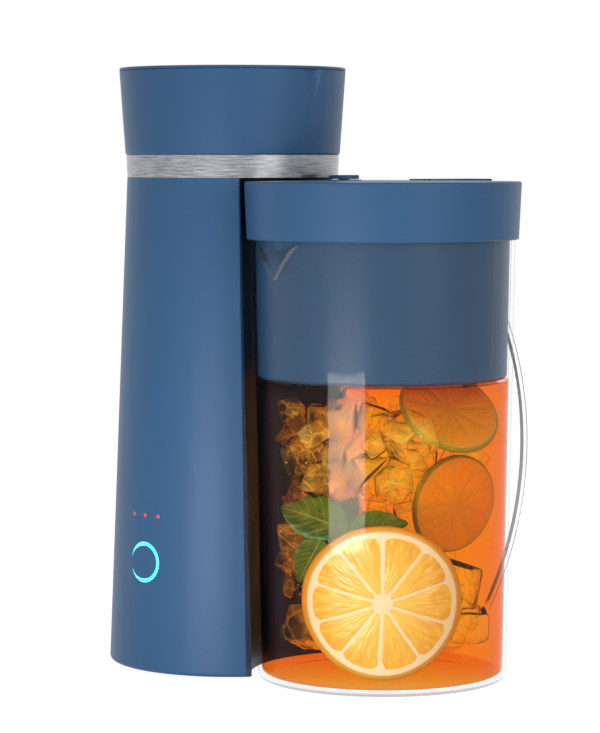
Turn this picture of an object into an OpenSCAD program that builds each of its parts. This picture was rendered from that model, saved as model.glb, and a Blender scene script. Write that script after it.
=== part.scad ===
// Iced tea maker: a tapered brewing tower with a hinged tank lid, and a clear
// pitcher with its basket and lid, docked in a recess in the tower's side.
// Millimetres, +Z up. +X runs from the tower to the pitcher, the front is -Y.
// The origin is the middle of the footprint, on the table.

/* [Tower] */
// Height of the tower over its lid
tower_h = 320; // [305:1:345]
// Diameter of the housing at its foot
tower_base_d = 134; // [130:0.5:140]
// Diameter of the housing under the steel band
tower_neck_d = 113.4; // [111:0.2:116]
// Wall of the housing
housing_wall = 2.5; // [2:0.1:3]
// How deep the docked pitcher lid reaches into the tower's neck
dock_depth = 34; // [30:0.5:35]
// Depth of the flat lands beside the dock, at the neck
land_neck_cut = 22; // [20.5:0.1:23.5]
// Depth of the flat lands beside the dock, at the foot
land_base_cut = 23.6; // [22:0.1:25]
// Free gap between the pitcher lid and the dock wall
dock_gap = 2.1; // [1.5:0.1:3]
// Height of the housing's edge over the table
foot_gap = 1.2; // [0.8:0.1:2]

/* [Cap and tank] */
// Height of the cap over the steel band
cap_h = 46.5; // [43:0.5:55]
// How far the cap's lower edge stands out over the housing's neck
cap_lip = 0.9; // [0.6:0.1:1.8]
// How far the cap's rim stands out over its lower edge
cap_flare = 3.1; // [2:0.1:4.4]
// Wall of the cap
cap_wall = 2.8; // [2.4:0.1:3.2]
// Height of the steel band
band_h = 12; // [9:0.5:16]
// Thickness of the steel band
band_t = 0.8; // [0.5:0.1:1]
// Thickness of the tank lid
tank_lid_t = 1.6; // [1.4:0.1:2.4]
// Depth of the filling bowl under the tank lid
bowl_depth = 17; // [15:0.5:20]
// Free gap between the water tank and the cap's core
tank_side_gap = 1.7; // [1:0.1:3]
// Free height between the control board and the tank's floor
tank_over_board = 6.9; // [6:0.1:25]
// Wall of the water tank
tank_wall = 2; // [1.6:0.1:2.4]
// Turn of the grip scoop from +X towards the front, in degrees
scoop_turn = 11.5; // [5:0.5:20]
// Width of the grip scoop at the rim
scoop_w = 14.1; // [12:0.5:16]
// Height of the grip scoop
scoop_h = 20; // [16:1:24]
// Radius of the hinge pin
hinge_pin_r = 1.2; // [1:0.1:1.4]

/* [Controls] */
// Height of the power button over the table
button_z = 59.1; // [57:0.5:62]
// Turn of the control face from the front towards -X, in degrees
face_turn = 12; // [6:0.5:18]
// Diameter of the power button
button_d = 17.1; // [15:0.1:18]
// Width of the light ring round the button
light_w = 2.2; // [1.6:0.1:2.6]
// How far the button stands out of the housing
button_proud = 1.6; // [1.5:0.1:2]
// Travel of the button
button_travel = 1.4; // [0.8:0.1:1.4]
// Height of the indicator lamps over the power button
lens_rise = 24.8; // [23:0.2:29]
// Diameter of an indicator lamp
lens_d = 2.2; // [1.8:0.1:3]

/* [Pitcher] */
// Diameter of the pitcher at its foot
pitcher_base_d = 130.5; // [128:0.5:132]
// Diameter of the pitcher at its rim
pitcher_rim_d = 138.8; // [137:0.2:139]
// Wall of the pitcher
pitcher_wall = 2; // [1.6:0.1:2.4]
// Thickness of the pitcher's floor
pitcher_floor = 3; // [2.4:0.1:4]
// Turn of the spout from the front towards -X, in degrees
spout_turn = 20; // [15:1:25]
// How far the spout's tip stands out of the wall
spout_reach = 8.8; // [7:0.1:10]
// Height of the ridge under the spout's tip
spout_ridge = 11.3; // [10:0.1:13]
// How far the handle stands out of the wall
handle_reach = 32; // [28:0.5:36]
// Distance from the pitcher's rim down to the handle's upper end
handle_top_gap = 20.4; // [17:0.2:40]
// Height of the handle's lower end over the table
handle_low_z = 18.6; // [14:0.2:40]
// Width of the handle
handle_w = 4.6; // [4:0.1:8]
// Thickness of the handle
handle_t = 2.4; // [2:0.1:3.2]

/* [Pitcher lid and basket] */
// Height of the pitcher lid's skirt
lid_h = 30; // [26:0.5:34]
// Thickness of the pitcher lid
lid_t = 2.5; // [2:0.1:3]
// Depth of the basket's floor under the pitcher's rim
basket_depth = 80.3; // [72:0.1:88]
// Wall of the basket
basket_wall = 1.6; // [1.2:0.1:2]
// Distance from the lid's centre to the strength knob
knob_offset = 24; // [22:0.5:26]
// Diameter of the strength knob
knob_d = 16; // [14:0.5:18]
// Height of the strength knob
knob_h = 2.1; // [1.8:0.1:2.6]

/* [Boiler] */
// Bend radius of the boiler
boiler_bend_r = 21; // [20:0.5:21.5]
// Height of the boiler's water tube over the table
boiler_z = 24; // [23:0.5:26]
// Outer radius of the boiler's water tube
boiler_r = 6; // [5.6:0.1:6.4]
// Outer radius of the hoses
hose_r = 6.5; // [6.1:0.1:6.8]

/* [Hidden] */
$fn = 96;

// Colours
body_blue = [0.243, 0.365, 0.506];
inner_blue = [0.28, 0.40, 0.53];
steel = [0.72, 0.72, 0.71];
clear = [0.86, 0.90, 0.93, 0.45];
dark = [0.12, 0.12, 0.13];
silicone = [0.85, 0.85, 0.80];

// Clearances
seat_gap = 0.2;      // between pieces that are fixed together
move_gap = 0.3;      // between pieces that move
shaft_gap = 0.06;    // round a turning shaft
eps = 0.01;
far = 400;           // longer than any piece

// Radii of the tower, the pitcher and its lid, and how far apart they stand
base_r = tower_base_d / 2;
neck_r = tower_neck_d / 2;
pitcher_base_r = pitcher_base_d / 2;
pitcher_rim_r = pitcher_rim_d / 2;
lid_rim_gap = 0.4;
lid_r = pitcher_rim_r + lid_rim_gap + lid_t;
axis_gap = neck_r + lid_r - dock_depth;
land_neck_x = neck_r - land_neck_cut;
land_base_x = base_r - land_base_cut;

// Heights of the tower
housing_top = tower_h - cap_h - band_h;
cap_z = housing_top + band_h;
cap_bottom_r = neck_r + cap_lip;
cap_top_r = cap_bottom_r + cap_flare;
lid_seam = 0.2;
rim_z = tower_h - tank_lid_t - lid_seam;
cap_slope = (cap_top_r - cap_bottom_r) / (rim_z - cap_z);
body_tilt = atan((base_r - neck_r) / (housing_top - foot_gap));
foot_round = 2;

// Radius of the housing, and of the cap, at a height
function tower_r(z) = base_r + (neck_r - base_r) * (z - foot_gap) / (housing_top - foot_gap);
function cap_r(z) = cap_bottom_r + cap_slope * (z - cap_z);
function land_x(z) = land_base_x + (land_neck_x - land_base_x) * z / housing_top;

// Heights and radii of the pitcher and its lid, hung from the tower's overhang
ceiling_gap = 1.2;
lid_crown = 0.5;
lid_top = housing_top - ceiling_gap;
lid_edge_z = lid_top - lid_crown;
lid_bottom = lid_edge_z - lid_h;
lid_skirt_taper = 1.3;
rim_cover = 8;
pitcher_rim_z = lid_bottom + rim_cover;
function pitcher_r(z) = pitcher_base_r + (pitcher_rim_r - pitcher_base_r) * z / pitcher_rim_z;

// The dock: a tapered recess round the pitcher's axis
dock_r = lid_r + dock_gap;
dock_foot_gap = 1.7;
dock_base_r = pitcher_base_r + dock_gap + dock_foot_gap;
function dock_wall_r(z) = dock_base_r + (dock_r - dock_base_r) * z / housing_top;

// Spout, seen from the pitcher's axis
lip_drop = 10;
lip_half = 20;
lip_z = lid_bottom - 0.4;
lip_in = pitcher_base_r - 15;
lip_out = 12;
ridge_tail = 15;     // how far the spout runs down into the wall under its ridge
tip_z = lip_z - lip_drop;
tip_r = pitcher_r(tip_z) + spout_reach;
ridge_z = tip_z - spout_ridge;
ridge_tilt = atan((tip_r - pitcher_r(ridge_z)) / spout_ridge);
ridge_round = 1.2;
ridge_half = atan(1 / cos(ridge_tilt));
tip_blunt = ridge_round * (1 / sin(ridge_half) - 1) / cos(ridge_tilt);

// Handle: a bow through its two ends and its furthest point
bow_sink = 3;
handle_end_z = pitcher_rim_z - handle_top_gap;
handle_z = (handle_end_z + handle_low_z) / 2;
bow_chord = (handle_end_z - handle_low_z) / 2;
bow_rise = handle_reach - handle_t / 2 + bow_sink;
bow_r = (bow_chord * bow_chord + bow_rise * bow_rise) / (2 * bow_rise);
bow_c = pitcher_r(handle_z) + handle_reach - handle_t / 2 - bow_r;
bow_half = asin(bow_chord / bow_r);
handle_pad_r = 6.5;
handle_pad_t = 2;
handle_pad_in = 6;

// Middle of the footprint, seen from the tower's axis
x_low = -base_r;
x_high = axis_gap + lid_r;
bow_tip_y = (bow_c + bow_r) * cos(spout_turn) + handle_t / 2
    + (handle_w - handle_t) / 2 * sin(spout_turn);
mid_x = (x_low + x_high) / 2;
mid_y = (bow_tip_y - max(lid_r, (tip_r - tip_blunt) * cos(spout_turn))) / 2;

// Base cover and its screws
cover_t = 2.6;
cover_top = foot_gap + cover_t;
screw_r = 1.5;
screw_head_r = 3;
screw_head_h = 1.4;
screw_sink = 0.01;
screw_bite = 10;
screw_hole_gap = 0.3;
thread_gap = 0.05;
base_boss_r = 5;
base_boss_h = 14;
base_screw_in = 1.3;
base_screw_ring = base_r - housing_wall - screw_head_r - base_screw_in;
base_screw_room = 3.57;
base_screw_off = dock_base_r + housing_wall + base_boss_r + base_screw_room;
base_screw_dir = acos((pow(base_screw_ring, 2) + pow(axis_gap, 2) - pow(base_screw_off, 2))
    / (2 * base_screw_ring * axis_gap));
base_screw_at = [for (a = [base_screw_dir, -base_screw_dir, 120, -120])
    base_screw_ring * [cos(a), sin(a)]];
foot_r = 6;
foot_bevel = 0.4;
foot_sink = 0.8;
vent_x = -40;
vent_l = 24;
vent_w = 2;
vent_pitch = 7;
foot_at = [for (a = [70, -70, 148, -148]) 0.78 * base_r * [cos(a), sin(a)]];

// Cap, collar and tank
core_t = 2.7;
core_r = neck_r - band_t - seat_gap;
core_in = core_r - core_t;
tank_r = core_in - tank_side_gap;
band_flare = 0.5;
band_bevel = 0.15;
cap_floor_t = 2.5;
ledge_z = rim_z - bowl_depth;
ledge_t = 2;
ledge_haunch = 3;
cap_edge = 0.8;
flange_t = 2;
flange_gap = 0.5;
flange_r = cap_r(ledge_z) - cap_wall - flange_gap;
deck_t = 2.5;
deck_top = housing_top + deck_t;
tank_gap = 1.5;
tank_clear_r = dock_r + housing_wall + tank_gap;
deck_reach = 0.9;
tank_floor_t = 2.5;
tank_nipple_l = 8;
tank_nipple_bore_r = 3.5;
skirt_gap = 2.4;
skirt_r = cap_top_r - cap_wall - skirt_gap;
skirt_t = 1.4;
skirt_h = 4;
lid_rib_in = 14;
lid_rib_t = 1.2;
lid_rib_h = 2;
lid_bevel = 0.3;
lid_round = 0.8;

// Hinge of the tank lid, opposite the scoop
hinge_dir = 180 - scoop_turn;
barrel_r = hinge_pin_r + 1.4;
hinge_r = cap_top_r + barrel_r + move_gap;
hinge_drop = 1.7;
hinge_z = rim_z - hinge_drop;
knuckle_half = 6;
ear_w = 4.7;
pin_grip = 0.02;
leaf_low = 1.9;      // underside of the lid's hinge leaf over the pin

// Grip scoop: a leaning cylinder cut into the cap
scoop_depth = 2.3;
scoop_rho = let (k = scoop_w * scoop_w / (8 * scoop_depth)) k * cap_top_r / (cap_top_r - k);
scoop_low_z = rim_z - scoop_h;
scoop_low_x = cap_r(scoop_low_z) + scoop_rho;
scoop_lean = atan((scoop_low_x - (cap_top_r + scoop_rho - scoop_depth)) / scoop_h);
scoop_wall = 2;
scoop_over = 20;

// Water way: outlet nozzle, riser, boiler and inlet
nozzle_over_land = 9.3;
nozzle_x = land_neck_x + nozzle_over_land;
nozzle_r = 5.5;
nozzle_flange_r = 8;
nozzle_flange_t = 2;
nozzle_drop = 0.6;
spigot_r = 3.1;
spigot_h = 5.5;
nozzle_bore_r = 1.8;
nozzle_jet_r = 0.7;
nozzle_jet_at = 3.6;
boiler_setback = 37.45;
riser_setback = 32.1;
boiler_x = axis_gap - housing_wall - max(dock_base_r + boiler_setback, dock_r + riser_setback);
boiler_y = 1;
boiler_leg = 10;
boiler_bore_r = 3;
rod_drop = 10.5;
rod_case_r = 5;
rod_r = 3.3;
nipple_r = 5;
nipple_l = 7;
leg_end_x = boiler_x + boiler_leg;
nipple_end_x = leg_end_x + nipple_l;
elbow_r = 8;
inlet_y = boiler_y - boiler_bend_r;
outlet_y = boiler_y + boiler_bend_r;
inlet_x = nipple_end_x + elbow_r;
riser_bend = 10;
riser_x = nipple_end_x + riser_bend;
riser_r = 5;
riser_bore_r = 3.15;
riser_swell = 0.1;
riser_nipple_t = 1;
run_rise = 16;
run_z = deck_top + nozzle_flange_t + run_rise;
run_dir = atan2(-outlet_y, nozzle_x - riser_x);
run_l = norm([nozzle_x - riser_x, outlet_y]) - 2 * riser_bend;
channel_gap = 1.4;
channel_r = riser_r + channel_gap;
channel_l = 40;
valve_r = 7;
valve_h = 22;
valve_gap = 2;
valve_spigot = 6;
valve_ring_h = 1.2;
valve_ring_out = 0.8;
valve_rings = [3, 17];
valve_bore_r = 2.6;
valve_room_r = 4.4;
valve_room = [4, 14];
hose_grip = 0.05;

// Controls, in the frame of the button: +Z out of the housing
button_r = button_d / 2;
light_in_r = button_r + move_gap;
light_out_r = light_in_r + light_w - move_gap;
light_flange = 1.5;
light_flange_r = light_out_r + light_flange;
light_flange_z = -4;
light_flange_t = 1.2;
light_tail = -6;
face_far = 20;       // longer than any control stands out of its face
button_skirt_z = -4.5;
button_skirt_t = 1.3;
button_face_t = 2;
button_round = 0.6;
stem_r = 2.2;
stem_root = 0.5;
switch_front = -10;
stem_end = switch_front + button_travel + move_gap;
board_front = -14.4;
board_t = 1.6;
board_w = 40;
board_h = 24;
board_post = [16, 8];
board_post_r = 3;
board_bore_l = 6;
board_screw_r = 1;
board_screw_head_r = 2.2;
board_screw_head_h = 1.4;
switch_w = 12;
plunger_r = 1.7;
plunger_gap = 0.25;
plunger_end = -12.6;
lens_z = button_z + lens_rise;
lens_pitch = 8.4;
lens_l = 6;
lens_dome = 0.4;
lens_edge = 0.1;
lens_flange = 1;
tank_floor_z = button_z + board_h / 2 + tank_over_board;
valve_top = tank_floor_z - valve_gap;

// Mains inlet at the back
gland_z = 18;
gland_dir = 90;
gland_r = 7;
gland_bore_r = 3.8;
gland_lip = 2;
gland_in = 7;
gland_out = 1;
gland_lip_t = 1.8;
gland_nut_t = 1.6;
gland_nut_gap = 0.9;

// Basket, its filter, and the lid's inner ring and shower plate
basket_gap = 1;
basket_flange_t = 2;
basket_top = pitcher_rim_z + basket_flange_t;
basket_z = pitcher_rim_z - basket_depth;
basket_floor_t = 2;
basket_bevel = 1.5;
basket_sill = 13;
basket_cross_w = 4;
filter_t = 1;
filter_rim = 4;
filter_rim_t = 1.6;
filter_rim_h = 3;
filter_hole_r = 1.3;
filter_rings = 6;
filter_first = 2;
filter_margin = 4.4;
ring_in = 1;
ring_r = pitcher_rim_r - ring_in;
ring_t = 2;
shower_rise = 12;
shower_z = pitcher_rim_z + shower_rise;
shower_hole_r = 1.5;
shower_rings = 6;
shower_margin = 14.4;
shower_pitch = (ring_r - shower_margin) / shower_rings;
strength_hole_r = 3;
strength_hole_at = 9;
stud_r = 3;
stud_in = 5;
lid_round_r = 1.2;
skirt_bevel = 0.5;
pad_half = 9;
pad_in = 25;
pad_edge = 5;
pad_h = 0.6;
shower_t = 1.5;
inlet_hole_r = 7;
knob_boss_h = 0.3;
knob_shaft_r = 3;
knob_seat = 1.5;
knob_groove_w = 1.2;
knob_groove_h = 0.5;
knob_low = lid_top + knob_boss_h + move_gap;
shutter_r = 14;
shutter_t = 1.4;
shutter_hub_t = 2;
shutter_grip = 0.02;
function basket_r(z) = pitcher_r(z) - pitcher_wall - basket_gap;
basket_window_r = basket_r(basket_z) - basket_sill;
filter_pitch = (basket_window_r - filter_first - filter_margin) / filter_rings;

// Pitcher's foot
pitcher_foot_r = 3;
pitcher_inner_r = 2;
pitcher_hollow = [12, 0.8];

// Boiler's pads, fuse, rod ends and straps
pad_w = 17;
pad_up = 1;
pad_top = boiler_z + boiler_r + pad_up;
web_in = 1.5;
fuse_r = 2.2;
fuse_dir = 122;
fuse_half = 9;
fuse_pad_w = 8;
fuse_seat = 0.4;
fuse_lead = [0.6, 5];
fuse_at = [boiler_x + boiler_bend_r * cos(fuse_dir), boiler_y + boiler_bend_r * sin(fuse_dir)];
rod_leg = 18;
rod_pin = [1.2, 7];
strap_t = 1.4;
strap_in = boiler_r + 0.1;
strap_reach = 3.6;
strap_end = 3.4;
strap_foot = strap_in + strap_t + strap_reach;
strap_z = boiler_z - rod_drop - rod_case_r + 1;
strap_w = 7;
strap_x = boiler_x + 5;
strap_post_r = 4;
strap_screw_r = screw_r - 0.3;
strap_screw_head = [2.5, 1.6];
strap_screw_end = cover_top + 0.6;
rest_size = [8, 6];
stat_r = 6.6;
stat_h = 6.5;
stat_flange = [7.5, 1];
stat_tab = [0.8, 6, 7];
stat_tab_at = 3.4;

// Frames of reference
module in_frame() translate([-mid_x, -mid_y, 0]) children();
module at_pitcher() translate([axis_gap, 0, 0]) children();
module at_knob() at_pitcher() translate([-knob_offset, 0, 0]) children();
module at_hinge() rotate([0, 0, hinge_dir]) translate([hinge_r, 0, hinge_z]) children();
module at_face(z, turn = 0)
    rotate([0, 0, -face_turn + turn]) translate([0, -tower_r(z), z])
        rotate([90 - body_tilt, 0, 0]) children();

module at_gland() rotate([0, 0, gland_dir]) translate([tower_r(gland_z), 0, gland_z])
    rotate([0, 90 - body_tilt, 0]) children();

// A straight tube from z0 to z1
module tube(r_out, r_in, z0, z1) {
    difference() {
        translate([0, 0, z0]) cylinder(r = r_out, h = z1 - z0);
        translate([0, 0, z0 - 1]) cylinder(r = r_in, h = z1 - z0 + 2);
    }
}

// A solid turned from a half outline
module turned(points) rotate_extrude() polygon(points);

// A quarter bend that starts along +X at the origin and ends along +Z
module elbow(bend, r)
    translate([0, 0, bend]) rotate([90, 0, 0]) rotate([0, 0, -90])
        rotate_extrude(angle = 90) translate([bend, 0]) circle(r = r);

// Points of a quarter round from angle a0 to a1 about a centre
function arc(c, r, a0, a1, n = 5) = [for (i = [0 : n]) let (a = a0 + (a1 - a0) * i / n)
    [c[0] + r * cos(a), c[1] + r * sin(a)]];

// The housing's tapered form, set in by an inset on all its walls
module tower_form(inset, z0, z1) {
    edge = foot_round;
    foot = inset == 0 ? arc([tower_r(z0) - edge, z0 + edge], edge, -90, 0)
        : [[tower_r(z0) - inset, z0]];
    difference() {
        intersection() {
            turned(concat([[0, z0]], foot, [[tower_r(z1) - inset, z1], [0, z1]]));
            rotate([90, 0, 0]) translate([0, 0, -far / 2]) linear_extrude(far)
                polygon([[-far, -far], [land_x(-far) - inset, -far],
                    [land_x(far) - inset, far], [-far, far]]);
        }
        at_pitcher() translate([0, 0, -1])
            cylinder(r1 = dock_wall_r(-1) + inset, r2 = dock_wall_r(housing_top + 2) + inset,
                h = housing_top + 3);
    }
}

module housing() color(body_blue) in_frame() difference() {
    union() {
        difference() {
            tower_form(0, foot_gap, housing_top);
            tower_form(housing_wall, foot_gap - 1, housing_top + 1);
        }
        // bosses for the base screws, run into the wall
        intersection() {
            tower_form(1, foot_gap, housing_top);
            union() {
                for (p = base_screw_at) translate([p[0], p[1], cover_top])
                    cylinder(r = base_boss_r, h = base_boss_h);
                at_face(button_z) for (x = [-1, 1], y = [-1, 1])
                    translate([x * board_post[0], y * board_post[1], board_front])
                        cylinder(r = board_post_r, h = -board_front);
            }
        }
    }
    for (p = base_screw_at) translate([p[0], p[1], cover_top - 1])
        cylinder(r = screw_r + thread_gap, h = base_boss_h - 1);
    at_face(button_z) {
        translate([0, 0, -2 * housing_wall])
            cylinder(r = light_out_r + thread_gap, h = 4 * housing_wall);
        for (x = [-1, 1], y = [-1, 1])
            translate([x * board_post[0], y * board_post[1], board_front - 1])
                cylinder(r = board_screw_r + thread_gap, h = board_bore_l + 1);
    }
    for (i = [-1 : 1]) at_face(lens_z, i * lens_pitch) translate([0, 0, -2 * housing_wall])
        cylinder(r = lens_d / 2 + thread_gap, h = 4 * housing_wall);
    at_gland() translate([0, 0, -4 * housing_wall])
        cylinder(r = gland_r + thread_gap, h = 8 * housing_wall);
}

module base_cover() color(dark) in_frame() {
    difference() {
        union() {
            tower_form(housing_wall + seat_gap, foot_gap, cover_top);
            // pads and posts that carry the boiler
            for (y = [inlet_y, outlet_y]) {
                translate([strap_x - rest_size[0] / 2, y - rest_size[1] / 2, cover_top - eps])
                    cube([rest_size[0], rest_size[1],
                        boiler_z - rod_drop - rod_case_r - cover_top + eps]);
                for (s = [-1, 1]) translate([strap_x, y + s * strap_foot, cover_top - eps])
                    cylinder(r = strap_post_r, h = strap_z - cover_top + eps);
            }
        }
        for (p = base_screw_at) translate([p[0], p[1], foot_gap - 1]) {
            cylinder(r = screw_r + screw_hole_gap, h = cover_t + 2);
            cylinder(r = screw_head_r + screw_hole_gap, h = 1 + screw_head_h);
        }
        for (p = foot_at) translate([p[0], p[1], foot_gap - 1])
            cylinder(r = foot_r + seat_gap, h = 1 + foot_sink);
        for (y = [inlet_y, outlet_y], s = [-1, 1])
            translate([strap_x, y + s * strap_foot, strap_screw_end - 0.1])
                cylinder(r = strap_screw_r + thread_gap, h = boiler_z);
        // air slots under the boiler
        for (i = [-2 : 2]) translate([vent_x, i * vent_pitch - vent_w / 2, foot_gap - 1])
            cube([vent_l, vent_w, cover_t + 2]);
    }
}

module base_screws() color(steel) in_frame() for (p = base_screw_at)
    translate([p[0], p[1], foot_gap + screw_sink]) {
        cylinder(r = screw_head_r, h = screw_head_h - screw_sink);
        cylinder(r = screw_r, h = cover_t + screw_bite);
    }

module rubber_feet() color(dark) in_frame() for (p = foot_at) translate([p[0], p[1], 0])
    turned([[0, 0], [foot_r - 2 * foot_bevel, 0], [foot_r - foot_bevel, foot_bevel],
        [foot_r, foot_gap + foot_sink],
        [0, foot_gap + foot_sink]]);

module trim_band() color(steel) in_frame() turned([
    [neck_r - band_t, housing_top], [neck_r - band_bevel, housing_top],
    [neck_r, housing_top + band_bevel],
    [neck_r + band_flare, cap_z], [neck_r - band_t, cap_z]]);

// One ear of the hinge, in the hinge's frame, with a gusset down the cap wall
module ear_outline() {
    circle(r = barrel_r);
    polygon([[-barrel_r - move_gap - 2, 1.2], [-1, 1.2], [1.6, -2], [-3.6, -9], [-5, -9]]);
}

module along_hinge(y0, y1) translate([0, y1, 0]) rotate([90, 0, 0])
    linear_extrude(y1 - y0) children();

module scoop_cut(extra) rotate([0, 0, -scoop_turn]) translate([scoop_low_x, 0, scoop_low_z])
    rotate([0, -scoop_lean, 0]) cylinder(r = scoop_rho + extra, h = scoop_h + scoop_over);

module tank_collar() color(body_blue) in_frame() difference() {
    union() {
        turned(concat([
            [core_in, housing_top], [core_r, housing_top], [core_r, cap_z]],
            [[cap_bottom_r - cap_edge, cap_z], [cap_r(cap_z + cap_edge), cap_z + cap_edge],
            [cap_r(rim_z), rim_z], [cap_r(rim_z) - cap_wall, rim_z],
            [cap_r(ledge_z) - cap_wall, ledge_z], [core_in, ledge_z],
            [core_in, ledge_z - ledge_t],
            [cap_r(ledge_z - ledge_t - ledge_haunch) - cap_wall, ledge_z - ledge_t - ledge_haunch],
            [cap_r(cap_z + cap_floor_t) - cap_wall, cap_z + cap_floor_t],
            [core_in, cap_z + cap_floor_t]]));
        // the scoop's wall bulges into the bowl
        intersection() {
            scoop_cut(scoop_wall);
            turned([[0, scoop_low_z], [cap_r(scoop_low_z) - 1, scoop_low_z],
                [cap_r(rim_z) - 1, rim_z], [0, rim_z]]);
        }
        at_hinge() for (s = [0, 1]) mirror([0, s, 0])
            along_hinge(knuckle_half + move_gap, knuckle_half + move_gap + ear_w) ear_outline();
    }
    scoop_cut(0);
    at_hinge() rotate([90, 0, 0]) translate([0, 0, -far / 2])
        cylinder(r = hinge_pin_r + pin_grip, h = far);
}

module lid_hinge_pin() color(steel) in_frame() at_hinge() rotate([90, 0, 0])
    translate([0, 0, -knuckle_half - move_gap - ear_w])
        cylinder(r = hinge_pin_r, h = 2 * (knuckle_half + move_gap + ear_w));

module tank_lid() color(body_blue) in_frame() difference() {
    union() {
        turned(concat([[0, rim_z + lid_seam], [cap_top_r - lid_bevel, rim_z + lid_seam],
            [cap_top_r, rim_z + lid_seam + lid_bevel]],
            arc([cap_top_r - lid_round, tower_h - lid_round], lid_round, 0, 90), [[0, tower_h]]));
        tube(skirt_r, skirt_r - skirt_t, rim_z + lid_seam - skirt_h, rim_z + lid_seam + eps);
        // stiffening ribs between the skirt and the middle
        for (a = [0 : 60 : 300]) rotate([0, 0, a])
            translate([lid_rib_in, -lid_rib_t / 2, rim_z + lid_seam - lid_rib_h])
                cube([skirt_r - lid_rib_in - 0.5, lid_rib_t, lid_rib_h + eps]);
        at_hinge() along_hinge(-knuckle_half, knuckle_half) {
            circle(r = barrel_r);
            polygon([[-8, leaf_low], [-8, leaf_low + tank_lid_t], [-1.5, leaf_low + tank_lid_t],
                [1.6, leaf_low], [0, 0], [-2.2, 1.2], [-2.5, leaf_low]]);
        }
    }
    at_hinge() rotate([90, 0, 0]) translate([0, 0, -far / 2])
        cylinder(r = hinge_pin_r + shaft_gap, h = far);
}

// The floor of the overhang: a lens between the cap's core and the dock wall
module brew_deck() color(body_blue) in_frame() difference() {
    intersection() {
        translate([0, 0, housing_top]) cylinder(r = core_in - seat_gap, h = deck_t);
        at_pitcher() translate([0, 0, housing_top]) cylinder(r = tank_clear_r - deck_reach, h = deck_t);
    }
    translate([nozzle_x, 0, housing_top - 1]) cylinder(r = nozzle_r + thread_gap, h = deck_t + 2);
}

module outlet_nozzle() color(dark) in_frame() translate([nozzle_x, 0, 0]) difference() {
    union() {
        translate([0, 0, housing_top - nozzle_drop])
            cylinder(r = nozzle_r, h = deck_t + nozzle_drop + eps);
        translate([0, 0, deck_top]) cylinder(r = nozzle_flange_r, h = nozzle_flange_t);
        translate([0, 0, deck_top]) cylinder(r = spigot_r, h = nozzle_flange_t + spigot_h);
    }
    translate([0, 0, housing_top - 2]) cylinder(r = nozzle_bore_r, h = far);
    for (a = [0 : 60 : 300]) rotate([0, 0, a]) translate([nozzle_jet_at, 0, housing_top - 2])
        cylinder(r = nozzle_jet_r, h = 2 + deck_t / 2 + 0.75);
}

// Outline of the tank: a disc less the dock's side and the riser's channel
module tank_outline(inset) difference() {
    circle(r = tank_r - inset);
    translate([axis_gap, 0]) circle(r = tank_clear_r + inset);
    translate([riser_x, outlet_y]) {
        circle(r = channel_r + inset);
        rotate([0, 0, run_dir]) translate([0, -channel_r - inset])
            square([channel_l, 2 * (channel_r + inset)]);
    }
}

module water_tank() color(inner_blue) in_frame() difference() {
    union() {
        translate([0, 0, tank_floor_z]) linear_extrude(ledge_z - tank_floor_z + eps) tank_outline(0);
        translate([0, 0, ledge_z]) cylinder(r = flange_r, h = flange_t);
        translate([inlet_x, inlet_y, tank_floor_z - tank_nipple_l])
            cylinder(r = nipple_r, h = tank_nipple_l + eps);
    }
    translate([0, 0, tank_floor_z + tank_floor_t]) linear_extrude(far) tank_outline(tank_wall);
    translate([inlet_x, inlet_y, tank_floor_z - tank_nipple_l - 1])
        cylinder(r = tank_nipple_bore_r, h = tank_nipple_l + tank_floor_t + 2);
}

module check_valve() color(dark) in_frame() translate([inlet_x, inlet_y, 0]) difference() {
    union() {
        translate([0, 0, valve_top - valve_h]) cylinder(r = valve_r, h = valve_h);
        translate([0, 0, valve_top - valve_h - valve_spigot])
            cylinder(r = nipple_r, h = valve_spigot + eps);
        for (z = valve_rings) translate([0, 0, valve_top - z - valve_ring_h])
            cylinder(r = valve_r + valve_ring_out, h = valve_ring_h);
    }
    translate([0, 0, tank_floor_z - tank_nipple_l]) cylinder(r = nipple_r + hose_grip, h = valve_h);
    cylinder(r = valve_bore_r, h = far);
    translate([0, 0, valve_top - valve_h + valve_room[0]])
        cylinder(r = valve_room_r, h = valve_room[1] - valve_room[0]);
}

// The hose or riser's first stretch: over the nipple, round the bend and up,
// where it may swell a little
module hose_run(bend, r, z_end, y, swell = 0) {
    translate([leg_end_x, y, boiler_z]) rotate([0, 90, 0]) cylinder(r = r, h = nipple_l);
    translate([nipple_end_x, y, boiler_z]) elbow(bend, r);
    translate([nipple_end_x + bend, y, boiler_z + bend])
        cylinder(r = r + swell, h = z_end - boiler_z - bend);
}

module inlet_hose() color(silicone) in_frame() difference() {
    hose_run(elbow_r, hose_r, valve_top - valve_h, inlet_y);
    hose_run(elbow_r, nipple_r + hose_grip, valve_top - valve_h + 1, inlet_y);
    translate([leg_end_x - 1, inlet_y, boiler_z]) rotate([0, 90, 0])
        cylinder(r = nipple_r + hose_grip, h = nipple_l / 2);
}

// The boiler's section: water tube over the rod's case, joined by a web
module boiler_section() {
    circle(r = boiler_r);
    translate([0, -rod_drop]) circle(r = rod_case_r);
    translate([-rod_case_r + web_in, -rod_drop]) square([2 * (rod_case_r - web_in), rod_drop]);
}

// A length that follows the boiler: half a turn and two legs
module boiler_path(leg) {
    translate([boiler_x, boiler_y, boiler_z]) {
        rotate([0, 0, 90]) rotate_extrude(angle = 180) translate([boiler_bend_r, 0]) children();
        for (s = [-1, 1]) translate([-eps, s * boiler_bend_r, 0]) rotate([90, 0, 90])
            linear_extrude(leg + eps) children();
    }
}

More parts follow.
